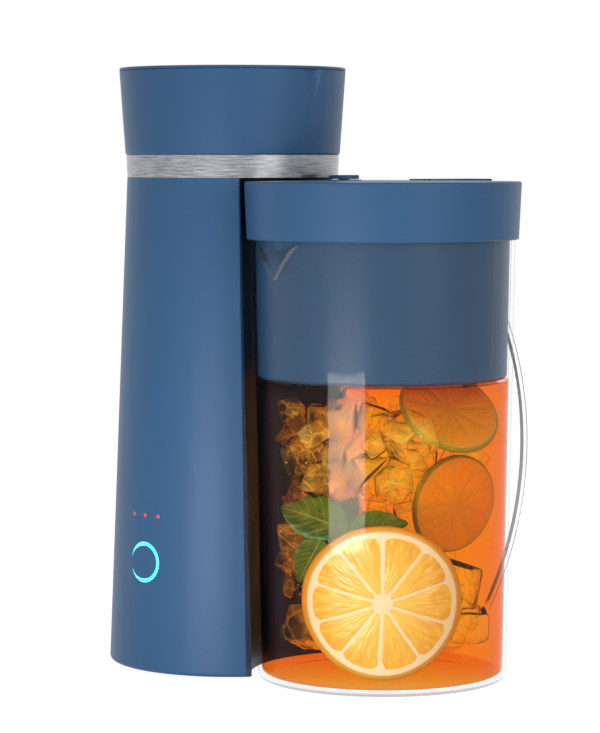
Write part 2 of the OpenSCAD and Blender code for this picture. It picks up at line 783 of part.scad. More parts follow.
module boiler() color([0.7, 0.71, 0.72]) in_frame() difference() {
    union() {
        boiler_path(boiler_leg) boiler_section();
        for (y = [inlet_y, outlet_y]) translate([leg_end_x - eps, y, boiler_z])
            rotate([0, 90, 0])
                cylinder(r = y == inlet_y ? nipple_r : riser_bore_r + riser_nipple_t, h = nipple_l);
        // pads for the thermostat and the fuse
        translate([boiler_x - boiler_bend_r - pad_w / 2 + 1, boiler_y - pad_w / 2, boiler_z])
            cube([pad_w - 2, pad_w, pad_top - boiler_z]);
        translate([fuse_at[0], fuse_at[1], boiler_z]) rotate([0, 0, fuse_dir - 90])
            translate([-fuse_half, -fuse_pad_w / 2, 0])
                cube([2 * fuse_half, fuse_pad_w, pad_top - boiler_z]);
    }
    boiler_path(boiler_leg + 1) circle(r = boiler_bore_r);
    for (y = [inlet_y, outlet_y]) translate([leg_end_x - 1, y, boiler_z]) rotate([0, 90, 0])
        cylinder(r = boiler_bore_r, h = nipple_l + 2);
    boiler_path(boiler_leg + 1) translate([0, -rod_drop]) circle(r = rod_r + thread_gap);
    translate([fuse_at[0], fuse_at[1], pad_top]) rotate([0, 0, fuse_dir - 90])
        translate([-fuse_half - 3, 0, fuse_seat]) rotate([0, 90, 0])
            cylinder(r = fuse_r + thread_gap, h = 2 * fuse_half + 6);
}

module heating_rod() color(steel) in_frame() {
    boiler_path(rod_leg) translate([0, -rod_drop]) circle(r = rod_r);
    for (y = [inlet_y, outlet_y])
        translate([boiler_x + rod_leg - eps, y, boiler_z - rod_drop]) rotate([0, 90, 0])
            cylinder(r = rod_pin[0], h = rod_pin[1]);
}

// One strap of the boiler, seen along it: an arch with two feet
module strap_outline() {
    difference() {
        circle(r = strap_in + strap_t);
        circle(r = strap_in);
        translate([-far / 2, -far]) square([far, far]);
    }
    for (s = [0, 1]) mirror([s, 0]) {
        translate([strap_in, strap_z - boiler_z]) square([strap_t, boiler_z - strap_z]);
        translate([strap_in, strap_z - boiler_z]) square([strap_foot - strap_in + strap_end, strap_t]);
    }
}

module boiler_brackets() color(steel) in_frame() for (y = [inlet_y, outlet_y])
    difference() {
        translate([strap_x - strap_w / 2, y, boiler_z]) rotate([90, 0, 90])
            linear_extrude(strap_w) strap_outline();
        for (s = [-1, 1]) translate([strap_x, y + s * strap_foot, strap_z - strap_t])
            cylinder(r = screw_r, h = 3 * strap_t);
    }

module bracket_screws() color(steel) in_frame() for (y = [inlet_y, outlet_y], s = [-1, 1])
    translate([strap_x, y + s * strap_foot, 0]) {
        translate([0, 0, strap_z + strap_t])
            cylinder(r = strap_screw_head[0], h = strap_screw_head[1]);
        translate([0, 0, strap_screw_end])
            cylinder(r = strap_screw_r, h = strap_z + strap_t - cover_top);
    }

module thermostat() color([0.25, 0.22, 0.2]) in_frame()
    translate([boiler_x - boiler_bend_r, boiler_y, pad_top]) {
        cylinder(r = stat_flange[0], h = stat_flange[1]);
        cylinder(r = stat_r, h = stat_h);
        for (s = [-1, 1]) translate([s * stat_tab_at - stat_tab[0] / 2, -stat_tab[1] / 2,
            stat_h - stat_tab[0] / 2]) cube(stat_tab);
    }

module thermal_fuse() color([0.8, 0.75, 0.6]) in_frame()
    translate([fuse_at[0], fuse_at[1], pad_top]) rotate([0, 0, fuse_dir - 90])
        translate([0, 0, fuse_seat]) rotate([0, 90, 0]) {
            translate([0, 0, -fuse_half]) cylinder(r = fuse_r, h = 2 * fuse_half);
            for (s = [0, 1]) mirror([0, 0, s]) translate([0, 0, fuse_half - 1])
                cylinder(r = fuse_lead[0], h = fuse_lead[1]);
        }

// The riser: up its channel in the tank, over the deck and down to the nozzle
module riser_path(r, more) {
    drop = run_z - riser_bend - deck_top - nozzle_flange_t + more;
    hose_run(riser_bend, r, run_z - riser_bend, outlet_y, riser_swell);
    translate([riser_x, outlet_y, run_z - riser_bend]) rotate([0, 0, run_dir]) {
        translate([riser_bend, 0, 0]) mirror([1, 0, 0]) translate([0, 0, riser_bend])
            mirror([0, 0, 1]) elbow(riser_bend, r);
        translate([riser_bend, 0, riser_bend]) rotate([0, 90, 0]) cylinder(r = r, h = run_l);
        translate([riser_bend + run_l, 0, riser_bend]) mirror([0, 0, 1]) elbow(riser_bend, r);
        translate([2 * riser_bend + run_l, 0, -drop]) cylinder(r = r, h = drop);
    }
}

module riser_tube() color(silicone) in_frame() difference() {
    riser_path(riser_r, 0);
    riser_path(riser_bore_r, 1);
    translate([leg_end_x - 1, outlet_y, boiler_z]) rotate([0, 90, 0])
        cylinder(r = riser_bore_r + riser_nipple_t + hose_grip, h = nipple_l + 1);
}

module control_board() color([0.1, 0.35, 0.2]) in_frame() at_face(button_z) difference() {
    translate([-board_w / 2, -board_h / 2, board_front - board_t]) cube([board_w, board_h, board_t]);
    for (x = [-1, 1], y = [-1, 1])
        translate([x * board_post[0], y * board_post[1], board_front - 2 * board_t])
            cylinder(r = board_screw_r + 0.2, h = 3 * board_t);
}

module board_screws() color(steel) in_frame() at_face(button_z) for (x = [-1, 1], y = [-1, 1])
    translate([x * board_post[0], y * board_post[1], board_front - board_t]) {
        translate([0, 0, -board_screw_head_h])
            cylinder(r = board_screw_head_r, h = board_screw_head_h);
        cylinder(r = board_screw_r, h = board_bore_l);
    }

module button_switch() color(dark) in_frame() at_face(button_z) difference() {
    translate([-switch_w / 2, -switch_w / 2, board_front])
        cube([switch_w, switch_w, switch_front - board_front]);
    translate([0, 0, board_front + 0.1]) cylinder(r = plunger_r + plunger_gap, h = switch_w);
}

module switch_plunger() color([0.9, 0.9, 0.9]) in_frame() at_face(button_z)
    translate([0, 0, plunger_end]) cylinder(r = plunger_r, h = stem_end - plunger_end);

module power_button() color(body_blue) in_frame() at_face(button_z) {
    difference() {
        turned(concat([[0, button_skirt_z], [button_r, button_skirt_z]],
            arc([button_r - button_round, button_proud - button_round], button_round, 0, 90),
            [[0, button_proud]]));
        translate([0, 0, button_skirt_z - 1]) cylinder(r = button_r - button_skirt_t,
            h = button_proud - button_face_t - button_skirt_z + 1);
    }
    translate([0, 0, stem_end])
        cylinder(r = stem_r, h = button_proud - button_face_t - stem_end + stem_root);
}

module light_ring() color([0.35, 0.95, 0.92]) in_frame() difference() {
    union() {
        intersection() {
            at_face(button_z) translate([0, 0, light_tail])
                cylinder(r = light_out_r, h = face_far);
            tower_form(0, foot_gap, housing_top);
        }
        at_face(button_z) translate([0, 0, light_flange_z - light_flange_t])
            cylinder(r = light_flange_r, h = light_flange_t);
    }
    at_face(button_z) translate([0, 0, -face_far]) cylinder(r = light_in_r, h = 2 * face_far);
}

module indicator_lenses() color([0.75, 0.15, 0.12]) in_frame()
    for (i = [-1 : 1]) at_face(lens_z, i * lens_pitch) turned(concat(
        [[0, -lens_l], [lens_d / 2 + lens_flange, -lens_l],
        [lens_d / 2 + lens_flange, -housing_wall - seat_gap],
        [lens_d / 2, -housing_wall - seat_gap], [lens_d / 2, lens_edge]],
        [[lens_d / 4, lens_dome - lens_edge / 2], [0, lens_dome]]));

module cord_gland() color(dark) in_frame() at_gland() difference() {
    union() {
        translate([0, 0, -gland_in]) cylinder(r = gland_r, h = gland_in + gland_out);
        translate([0, 0, seat_gap])
            cylinder(r1 = gland_r + gland_lip, r2 = gland_r + gland_lip / 2, h = gland_lip_t);
        translate([0, 0, -housing_wall - gland_nut_gap - gland_nut_t])
            cylinder(r = gland_r + gland_lip, h = gland_nut_t);
    }
    translate([0, 0, -gland_in - 1]) cylinder(r = gland_bore_r, h = 2 * gland_in);
}

// The spout's wedge: a right-angled beak along the ridge, its edge drawn in by a wall
module spout_wedge(wall) {
    half = ridge_half;
    rotate([0, 0, -spout_turn]) translate([0, -tip_r, tip_z]) rotate([ridge_tilt, 0, 0])
        translate([0, wall / sin(half), -pitcher_base_r]) linear_extrude(2 * pitcher_base_r)
            polygon(concat(arc([0, ridge_round / sin(half)], ridge_round, half - 180, -half, 6),
                pitcher_base_r * [[tan(half), 1], [-tan(half), 1]]));
}

// What lies under (or over) the spout's V-shaped lip, as a slab through the wall
module lip_slab(points) rotate([0, 0, -spout_turn]) rotate([90, 0, 0])
    translate([0, 0, lip_in]) linear_extrude(tip_r + lip_out - lip_in) polygon(points);

module pitcher() color(clear) in_frame() at_pitcher() difference() {
    union() {
        turned(concat([[0, pitcher_hollow[1]], [pitcher_base_r - pitcher_hollow[0], pitcher_hollow[1]],
            [pitcher_base_r - pitcher_hollow[0] + 2, 0]],
            arc([pitcher_base_r - pitcher_foot_r, pitcher_foot_r], pitcher_foot_r, -90, 0),
            [[pitcher_rim_r, pitcher_rim_z], [0, pitcher_rim_z]]));
        intersection() {
            spout_wedge(0);
            lip_slab([[-lip_half, ridge_z - ridge_tail], [lip_half, ridge_z - ridge_tail],
                [lip_half, lip_z], [0, tip_z], [-lip_half, lip_z]]);
        }
    }
    turned(concat([[0, pitcher_floor]],
        arc([pitcher_r(pitcher_floor + pitcher_inner_r) - pitcher_wall - pitcher_inner_r,
            pitcher_floor + pitcher_inner_r], pitcher_inner_r, -90, 0),
        [[pitcher_rim_r - pitcher_wall, pitcher_rim_z + eps],
        [pitcher_rim_r - pitcher_wall, far], [0, far]]));
    intersection() {
        spout_wedge(pitcher_wall);
        lip_slab([[-lip_half, ridge_z - ridge_tail], [lip_half, ridge_z - ridge_tail],
            [lip_half, lip_z], [-lip_half, lip_z]]);
    }
    lip_slab([[0, tip_z], [lip_half, lip_z], [lip_half, far], [-lip_half, far], [-lip_half, lip_z]]);
}

module handle_section() {
    for (s = [-1, 1]) translate([0, s * (handle_w - handle_t) / 2]) circle(r = handle_t / 2);
    translate([-handle_t / 2, -(handle_w - handle_t) / 2]) square([handle_t, handle_w - handle_t]);
}

module pitcher_handle() color(clear) in_frame() at_pitcher() rotate([0, 0, -spout_turn])
    difference() {
        union() {
            translate([0, bow_c, handle_z]) rotate([0, 90, 0]) rotate([0, 0, 90 - bow_half])
                rotate_extrude(angle = 2 * bow_half) translate([bow_r, 0]) handle_section();
            // pads where the bow is bonded to the wall
            for (s = [-1, 1]) intersection() {
                translate([0, 0, handle_z + s * (bow_chord - handle_pad_in)]) rotate([-90, 0, 0])
                    cylinder(r = handle_pad_r, h = pitcher_base_d);
                turned([[0, 0], [pitcher_base_r + handle_pad_t, 0],
                    [pitcher_rim_r + handle_pad_t, pitcher_rim_z], [0, pitcher_rim_z]]);
            }
        }
        turned([[0, -1], [pitcher_base_r + thread_gap, 0],
            [pitcher_rim_r + thread_gap, pitcher_rim_z], [0, pitcher_rim_z]]);
    }

module brew_basket() color(inner_blue) in_frame() at_pitcher() difference() {
    turned([[0, basket_z], [basket_r(basket_z) - basket_bevel, basket_z],
        [basket_r(basket_z), basket_z + basket_bevel],
        [basket_r(pitcher_rim_z), pitcher_rim_z], [pitcher_rim_r - seat_gap, pitcher_rim_z],
        [pitcher_rim_r - seat_gap, basket_top],
        [basket_r(pitcher_rim_z) - basket_wall, basket_top],
        [basket_r(basket_z) - basket_wall, basket_z + basket_floor_t], [0, basket_z + basket_floor_t]]);
    difference() {
        translate([0, 0, basket_z - 1]) cylinder(r = basket_window_r, h = 3 * basket_floor_t);
        for (a = [0, 90]) rotate([0, 0, a])
            translate([-far / 2, -basket_cross_w / 2, basket_z - basket_floor_t])
                cube([far, basket_cross_w, 4 * basket_floor_t]);
    }
}

module basket_filter() color([0.85, 0.86, 0.86]) in_frame() at_pitcher()
    translate([0, 0, basket_z + basket_floor_t]) difference() {
        union() {
            cylinder(r = basket_window_r + filter_rim, h = filter_t);
            tube(basket_window_r + filter_rim, basket_window_r + filter_rim - filter_rim_t, 0,
                filter_rim_h);
        }
        for (k = [1 : filter_rings], i = [0 : 8 * k - 1]) rotate([0, 0, 360 * i / (8 * k)])
            translate([k * filter_pitch + filter_first, 0, -1])
                cylinder(r = filter_hole_r, h = filter_t + 2);
    }

module pitcher_lid() color(body_blue) in_frame() at_pitcher() difference() {
    skirt_in = pitcher_rim_r + lid_rim_gap;
    union() {
        turned(concat([[skirt_in, lid_bottom],
            [lid_r - lid_skirt_taper - skirt_bevel, lid_bottom],
            [lid_r - lid_skirt_taper, lid_bottom + skirt_bevel]],
            arc([lid_r - lid_round_r, lid_edge_z - lid_round_r], lid_round_r, 0, 80),
            [[lid_r * 0.7, lid_top - lid_crown / 2], [lid_r * 0.4, lid_top - 0.1], [0, lid_top],
            [0, lid_edge_z - lid_t], [skirt_in, lid_edge_z - lid_t]]));
        tube(ring_r, ring_r - ring_t, basket_top + seat_gap, lid_edge_z - lid_t + eps);
        // flat seat of the knob, and the low thumb pad over the handle
        translate([-knob_offset, 0, lid_edge_z]) cylinder(r = knob_d / 2 + knob_seat,
            h = lid_crown + knob_boss_h);
        rotate([0, 0, 90 - spout_turn]) intersection() {
            translate([0, 0, lid_edge_z]) cylinder(r = lid_r - pad_edge, h = lid_crown + pad_h);
            translate([pad_in, -pad_half, lid_edge_z]) cube([lid_r, 2 * pad_half, lid_t]);
        }
        // three studs that carry the shower plate
        for (a = [60, 180, 300]) rotate([0, 0, a])
            translate([ring_r - ring_t - stud_in, 0, shower_z + shower_t])
                cylinder(r = stud_r, h = lid_edge_z - lid_t - shower_z - shower_t + eps);
    }
    translate([-axis_gap + nozzle_x, 0, lid_edge_z - lid_t - 1])
        cylinder(r = inlet_hole_r, h = 20);
    translate([-knob_offset, 0, lid_edge_z - lid_t - 1])
        cylinder(r = knob_shaft_r + shaft_gap, h = 20);
}

module shower_plate() color(inner_blue) in_frame() at_pitcher() difference() {
    translate([0, 0, shower_z]) cylinder(r = ring_r - ring_t - seat_gap, h = shower_t);
    // rows of drip holes, none under the shutter
    for (k = [3 : shower_rings], i = [0 : 5 * k - 1])
        let (a = 72 * (i / k + 0.5), r = k * shower_pitch) {
            if (norm([r * cos(a) + knob_offset, r * sin(a)]) > shutter_r + shower_hole_r + 1)
                rotate([0, 0, a]) translate([r, 0, shower_z - 1])
                    cylinder(r = shower_hole_r, h = shower_t + 2);
        }
    for (s = [-1, 1]) translate([-knob_offset, s * strength_hole_at, shower_z - 1])
        cylinder(r = strength_hole_r, h = shower_t + 2);
}

module strength_knob() color(body_blue) in_frame() at_knob() {
    difference() {
        turned(concat([[0, knob_low], [knob_d / 2, knob_low]],
            arc([knob_d / 2 - button_round, knob_low + knob_h - button_round], button_round,
                0, 90),
            [[0, knob_low + knob_h]]));
        // pointer groove
        translate([knob_d / 8, -knob_groove_w / 2, knob_low + knob_h - knob_groove_h])
            cube([knob_d / 2, knob_groove_w, knob_h]);
    }
    translate([0, 0, shower_z + shower_t + move_gap])
        cylinder(r = knob_shaft_r, h = knob_low - shower_z - shower_t);
}

module strength_shutter() color([0.9, 0.9, 0.88]) in_frame() at_knob() difference() {
    union() {
        translate([0, 0, shower_z + shower_t + move_gap]) cylinder(r = shutter_r, h = shutter_t);
        translate([0, 0, shower_z + shower_t + move_gap])
            cylinder(r = knob_shaft_r + shutter_hub_t,
                h = lid_edge_z - lid_t - shower_z - shower_t - 2 * move_gap);
    }
    translate([0, 0, shower_z]) cylinder(r = knob_shaft_r + shutter_grip, h = shower_rise);
    for (s = [-1, 1]) translate([s * strength_hole_at, 0, shower_z])
        cylinder(r = strength_hole_r + seat_gap, h = shower_rise);
}

housing();
base_cover();
base_screws();
rubber_feet();
trim_band();
tank_collar();
tank_lid();
lid_hinge_pin();
brew_deck();
outlet_nozzle();
water_tank();
check_valve();
inlet_hose();
boiler();
heating_rod();
boiler_brackets();
bracket_screws();
thermostat();
thermal_fuse();
riser_tube();
control_board();
board_screws();
button_switch();
switch_plunger();
power_button();
light_ring();
indicator_lenses();
cord_gland();
pitcher();
pitcher_handle();
brew_basket();
basket_filter();
pitcher_lid();
shower_plate();
strength_knob();
strength_shutter();
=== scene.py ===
"""The looks of an iced tea maker: a blue brewing tower with a clear pitcher docked in its side.

Everything is in metres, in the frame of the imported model: +Z up, +X from the tower to the
pitcher, the front towards -Y. The pitcher holds tea with ice, a lemon slice, two lime slices and
mint. What floats in the tea is placed in mm from the foot of the pitcher's axis, as it is seen
in the photograph: across to the right, up, and towards the viewer.
"""

import math
import random

import bmesh
import bpy
from mathutils import Matrix, Vector


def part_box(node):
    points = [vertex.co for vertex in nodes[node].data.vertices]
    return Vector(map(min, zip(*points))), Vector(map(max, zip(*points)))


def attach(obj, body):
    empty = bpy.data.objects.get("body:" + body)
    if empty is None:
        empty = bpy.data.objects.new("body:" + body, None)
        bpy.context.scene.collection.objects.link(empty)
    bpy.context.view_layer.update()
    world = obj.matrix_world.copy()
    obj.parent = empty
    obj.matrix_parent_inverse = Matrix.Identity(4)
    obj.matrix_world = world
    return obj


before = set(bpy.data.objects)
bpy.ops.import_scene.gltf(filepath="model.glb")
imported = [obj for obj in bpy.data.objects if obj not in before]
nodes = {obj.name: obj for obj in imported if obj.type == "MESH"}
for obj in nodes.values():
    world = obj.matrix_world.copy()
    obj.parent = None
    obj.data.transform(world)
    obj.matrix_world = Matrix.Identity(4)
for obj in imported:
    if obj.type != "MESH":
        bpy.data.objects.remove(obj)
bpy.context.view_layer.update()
MM = 0.001


def middle(node):
    """The point on the floor below the middle of a round node."""
    low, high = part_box(node)
    return Vector(((low.x + high.x) / 2, (low.y + high.y) / 2, 0))


TOWER = middle("trim_band")
PITCHER = middle("brew_basket")

# The pitcher's round wall, outside, and how far its spout and the free part of its bow stand out
FOOT_RADIUS = 65.25 * MM
RIM_RADIUS = 69.4 * MM
PITCHER_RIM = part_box("brew_basket")[1].z - 2 * MM
PITCHER_WALL = 2 * MM
SPOUT_REACH = 50 * MM
SPOUT_LOW = 196 * MM
BOW_REACH = 72.5 * MM

# The tea fills it to just below the basket, with a hair's gap to the wall
TEA_FLOOR = 3.2 * MM
TEA_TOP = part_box("brew_basket")[0].z - 0.6 * MM
TEA_GAP = 0.15 * MM

# A mint leaf's side veins: how many, and how far they slant towards its tip
VEINS = 9
VEIN_SLANT = 2.2

# The photograph's view: a long lens, from the front right and a little from above
AZIMUTH = math.radians(33.4)
PITCH = math.radians(4.135)
VIEWPOINT = TOWER + Vector((0.892, -1.287, 0.2725))
LENS = 142.43
SENSOR = 36
AWAY = Vector((-math.sin(AZIMUTH), math.cos(AZIMUTH), 0))
ACROSS = Vector((math.cos(AZIMUTH), math.sin(AZIMUTH), 0))


def in_view(across, height, towards):
    """A point in the pitcher: across the photograph's view, up, and towards the viewer, in mm."""
    return PITCHER + (ACROSS * across - AWAY * towards + Vector((0, 0, height))) * MM


def link(name, data):
    """A new object in the scene."""
    made = bpy.data.objects.new(name, data)
    bpy.context.scene.collection.objects.link(made)
    return made


# Shader maths


class Value:
    """A socket that carries a number or a vector, and takes Python's arithmetic."""

    def __init__(self, mixture, socket):
        self.mixture, self.socket = mixture, socket

    def maths(self, operation, *terms):
        settings = {"operation": operation}
        return self.mixture.node("ShaderNodeMath", settings, dict(enumerate(terms)))

    def __add__(self, other):
        return self.maths("ADD", self, other)

    def __sub__(self, other):
        return self.maths("SUBTRACT", self, other)

    def __rsub__(self, other):
        return self.maths("SUBTRACT", other, self)

    def __mul__(self, other):
        return self.maths("MULTIPLY", self, other)

    def __pow__(self, other):
        return self.maths("POWER", self, other)

    __radd__ = __add__
    __rmul__ = __mul__

    def above(self, edge, blur):
        """0 below the edge and 1 above it, with a soft step between."""
        return self.mixture.node(
            "ShaderNodeMapRange",
            {"interpolation_type": "SMOOTHSTEP"},
            {"Value": self, "From Min": edge - blur, "From Max": edge + blur},
        )

    def below(self, edge, blur):
        """1 below the edge and 0 above it."""
        return 1 - self.above(edge, blur)

    def most(self, other):
        """The greater of the two."""
        return self.maths("MAXIMUM", self, other)

    def least(self, other):
        """The smaller of the two."""
        return self.maths("MINIMUM", self, other)

    def size(self):
        """The value without its sign."""
        return self.maths("ABSOLUTE", self)

    def sine(self):
        return self.maths("SINE", self)

    def turn(self, other):
        """The angle whose tangent is this value over the other."""
        return self.maths("ARCTAN2", self, other)


class Mixture:
    """The nodes of a world or a material."""

    def __init__(self, owner):
        owner.use_nodes = True
        self.tree = owner.node_tree
        self.tree.nodes.clear()

    def node(self, kind, settings, sockets, out=0):
        """A node with its settings, and with numbers, colours or values in its sockets.

        A socket is given by its name or number. Settings hold a ramp's colours as `stops`.
        """
        made = self.tree.nodes.new(kind)
        for name, value in settings.items():
            if name == "stops":
                elements = made.color_ramp.elements
                while len(elements) < len(value):
                    elements.new(0.5)
                for element, (at, colour) in zip(elements, value):
                    element.position, element.color = at, (*colour, 1)
            else:
                setattr(made, name, value)
        for name, value in sockets.items():
            socket = made.inputs[name]
            if isinstance(value, Value):
                self.tree.links.new(value.socket, socket)
            elif socket.type == "RGBA":
                socket.default_value = (*value, 1)
            else:
                socket.default_value = value
        return Value(self, made.outputs[out])

    def end(self, kind, sockets):
        """The output node, which the shaders go to."""
        made = self.tree.nodes.new(kind)
        for name, value in sockets.items():
            self.tree.links.new(value.socket, made.inputs[name])

    def over(self, amount, first, second):
        """The second shader over the first one."""
        return self.node("ShaderNodeMixShader", {}, {0: amount, 1: first, 2: second})

    def shown(self):
        """1 where it is looked at, straight, in a mirror or through glass, and 0 as a light."""
        path = self.node("ShaderNodeLightPath", {}, {}).socket.node.outputs
        rays = ("Is Camera Ray", "Is Glossy Ray", "Is Transmission Ray")
        straight, mirrored, through = (Value(self, path[ray]) for ray in rays)
        return straight.most(mirrored).most(through)


class Finish(Mixture):
    """A material, and the patterns that it is mixed from."""

    def __init__(self, name):
        self.material = bpy.data.materials.new(name)
        super().__init__(self.material)
        self.place = self.node("ShaderNodeTexCoord", {}, {}, "Object")

    def spots(self, scale, detail=2, rough=0.5, at=None, seed=0.0):
        """Noise from 0 to 1, with about `scale` lumps to the metre."""
        return self.node(
            "ShaderNodeTexNoise",
            {"noise_dimensions": "4D"},
            {
                "Vector": at or self.place,
                "W": seed,
                "Scale": scale,
                "Detail": detail,
                "Roughness": rough,
            },
        )

    def cells(self, scale, feature="F1", at=None):
        """Distance from the middles or edges of about `scale` cells to the metre."""
        return self.node(
            "ShaderNodeTexVoronoi",
            {"feature": feature},
            {"Vector": at or self.place, "Scale": scale},
            "Distance",
        )

    def moved(self, shift=(0, 0, 0), scale=(1, 1, 1)):
        """The place on the piece, shifted or with its axes scaled."""
        return self.node(
            "ShaderNodeMapping", {}, {"Vector": self.place, "Location": shift, "Scale": scale}
        )

    def parts(self, at=None):
        """The x, y and z of a place."""
        split = self.node("ShaderNodeSeparateXYZ", {}, {"Vector": at or self.place})
        return [Value(self, part) for part in split.socket.node.outputs]

    def joined(self, x, y, z):
        """A place from its x, y and z."""
        return self.node("ShaderNodeCombineXYZ", {}, {"X": x, "Y": y, "Z": z})

    def round_about(self, centre):
        """Distance from an upright line, angle round it, and height."""
        x, y, z = self.parts(self.moved(shift=(-centre.x, -centre.y, 0)))
        return (x * x + y * y) ** 0.5, y.turn(x), z

    def own_map(self):
        """The place on the piece's own UV map."""
        return self.node("ShaderNodeTexCoord", {}, {}, "UV")

    def mix(self, amount, first, second):
        """The second colour over the first one."""
        return self.node(
            "ShaderNodeMix", {"data_type": "RGBA"}, {0: amount, 6: first, 7: second}, 2
        )

    def ramp(self, value, *stops):
        """A colour for a value, from pairs of a value and its colour."""
        return self.node("ShaderNodeValToRGB", {"stops": stops}, {"Fac": value})

    def outside(self):
        """1 where a ray comes to a clear body from outside, 0 where it leaves it."""
        return 1 - self.node("ShaderNodeNewGeometry", {}, {}, "Backfacing")

    def turned_away(self, blend=0.5):
        """0 where a face is seen square on, and 1 where it is seen edge on."""
        return self.node("ShaderNodeLayerWeight", {}, {"Blend": blend}, "Facing")

    def bump(self, height, depth, strength, under=None):
        """A relief `depth` metres deep, on top of the one under it."""
        sockets = {"Height": height, "Distance": depth, "Strength": strength}
        if under:
            sockets["Normal"] = under
        return self.node("ShaderNodeBump", {}, sockets)

    def surface(self, **sockets):
        """An opaque surface, with the shader's socket names written with underscores."""
        named = {name.replace("_", " "): value for name, value in sockets.items()}
        return self.node("ShaderNodeBsdfPrincipled", {}, named)

    def clear(self, tint):
        """A surface that only tints what is behind it."""
        return self.node("ShaderNodeBsdfTransparent", {}, {"Color": tint})

    def shine(self, **sockets):
        """A white reflection."""
        return self.node("ShaderNodeBsdfGlossy", {}, {"Color": (1, 1, 1), **sockets})

    def done(self, surface, **others):
        """The material, from its surface and, in a clear body, its volume."""
        self.end("ShaderNodeOutputMaterial", {"Surface": surface, **others})
        return self.material


# Finishes


def shade(colour, share):
    """A colour made darker."""
    return tuple(part * share for part in colour)


def moulded_plastic(name, colour, roughness=0.40, grain=0.010):
    """Satin moulded plastic: a spark-eroded grain, `grain` mm deep, and faint flow marks."""
    f = Finish(name)
    flow = f.spots(9, 3, at=f.moved(scale=(1, 1, 0.35)), seed=3.1)
    grit = f.spots(2600, 2, 0.6)
    peel = f.spots(420, 1, seed=7.0)
    pale = tuple(part * 1.10 + 0.003 for part in colour)
    return f.done(
        f.surface(
            Base_Color=f.mix(flow, shade(colour, 0.93), pale),
            Roughness=roughness - 0.04 + 0.05 * flow + 0.05 * grit,
            Specular_IOR_Level=0.22,
            Normal=f.bump(grit, grain * MM, 0.5, f.bump(peel, 1.2 * grain * MM, 0.35)),
        )
    )


def brushed_steel_round(name, centre):
    """Steel brushed round an upright axis."""
    f = Finish(name)
    _, angle, z = f.round_about(centre)
    wave = f.spots(1, 4, 0.7, at=f.joined(angle * 4.5, 0.0, z * 1500))
    fine = f.spots(1, 3, 0.8, at=f.joined(angle * 14, 2.0, z * 4200))
    brushing = wave * 0.65 + fine * 0.35
    return f.done(
        f.surface(
            Base_Color=f.ramp(brushing, (0.36, (0.12, 0.12, 0.12)), (0.64, (0.48, 0.49, 0.50))),
            Metallic=1.0,
            Roughness=0.16 + 0.20 * wave,
            Normal=f.bump(brushing, 0.03 * MM, 0.4),
        )
    )


def turned_steel(name):
    """Bright steel with fine marks round its height, for screws, pins and castings."""
    f = Finish(name)
    fine = f.spots(900, 3, 0.6, at=f.moved(scale=(1, 1, 4)))
    return f.done(
        f.surface(
            Base_Color=f.ramp(fine, (0.3, (0.42, 0.42, 0.43)), (0.7, (0.66, 0.66, 0.67))),
            Metallic=1.0,
            Roughness=0.25 + 0.2 * fine,
            Normal=f.bump(fine, 0.02 * MM, 0.4),
        )
    )


def soft_rubber(name, colour, roughness=0.6):
    """Rubber or silicone with a dusty bloom."""
    f = Finish(name)
    dust = f.spots(300, 4, 0.7)
    return f.done(
        f.surface(
            Base_Color=f.mix(dust * 0.5, colour, tuple(part + 0.03 for part in colour)),
            Roughness=roughness + 0.2 * dust,
            Normal=f.bump(dust, 0.03 * MM, 0.4),
        )
    )


def clear_wall(name, edges, grey):
    """Clear plastic: see-through, with a shine, and a painted grey shade where it turns from the
    viewer, for the dark edges that refraction gives.

    `edges` is given the finish and how far a face turns away, and returns how much painted shade
    it has there.
    """
    f = Finish(name)
    ripple = f.spots(28, 2, at=f.moved(scale=(1, 1, 0.4)), seed=5.0)
    scuff = f.spots(700, 3, 0.7, at=f.moved(scale=(1, 1, 0.2)), seed=2.0)
    outside = f.outside()
    away = f.turned_away()
    # Painted shade: an opaque grey surface that stands in for the dark edges that refraction
    # gives clear plastic.
    line = f.surface(Base_Color=grey, Roughness=0.3)
    shine = f.shine(Roughness=0.03 + 0.03 * scuff, Normal=f.bump(ripple, 0.3 * MM, 0.2))
    body = f.over(edges(f, away) * outside, f.clear((0.985, 0.988, 0.99)), line)
    gloss = (0.009 + 0.08 * away ** 6) * outside + 0.001
    return f.done(f.over(gloss, body, shine))


def wall_edge_shade(f, away):
    """The round wall gets painted grey shade at its outline and foot, and the pinched spout along
    its folds, where refraction darkens real clear plastic.
    """
    to_spout = (PITCHER - middle("pitcher_handle")).normalized()
    x, y, z = f.parts()
    radius, _, _ = f.round_about(PITCHER)
    reach = (x - PITCHER.x) * to_spout.x + (y - PITCHER.y) * to_spout.y
    proud = radius - FOOT_RADIUS - z * ((RIM_RADIUS - FOOT_RADIUS) / PITCHER_RIM)
    spout = reach.above(SPOUT_REACH, 4 * MM) * z.above(SPOUT_LOW, 8 * MM)
    fold = spout * proud.above(0.45 * MM, 0.25 * MM) * proud.below(1.9 * MM, 0.5 * MM)
    flank = spout * proud.above(1 * MM, 0.5 * MM) * away.above(0.42, 0.2)
    foot = z.below(2 * MM, 1 * MM)
    outline = away.above(0.90, 0.09)
    return (0.4 * outline).most(0.5 * foot).most(0.85 * fold.most(flank))


def bow_edge_shade(f, away):
    """The slim bow gets painted dark shade along both its edges where it stands clear of the
    wall, where refraction darkens real clear plastic.
    """
    radius, _, _ = f.round_about(PITCHER)
    return 0.95 * away.above(0.30, 0.14) * radius.above(BOW_REACH, 1.5 * MM)


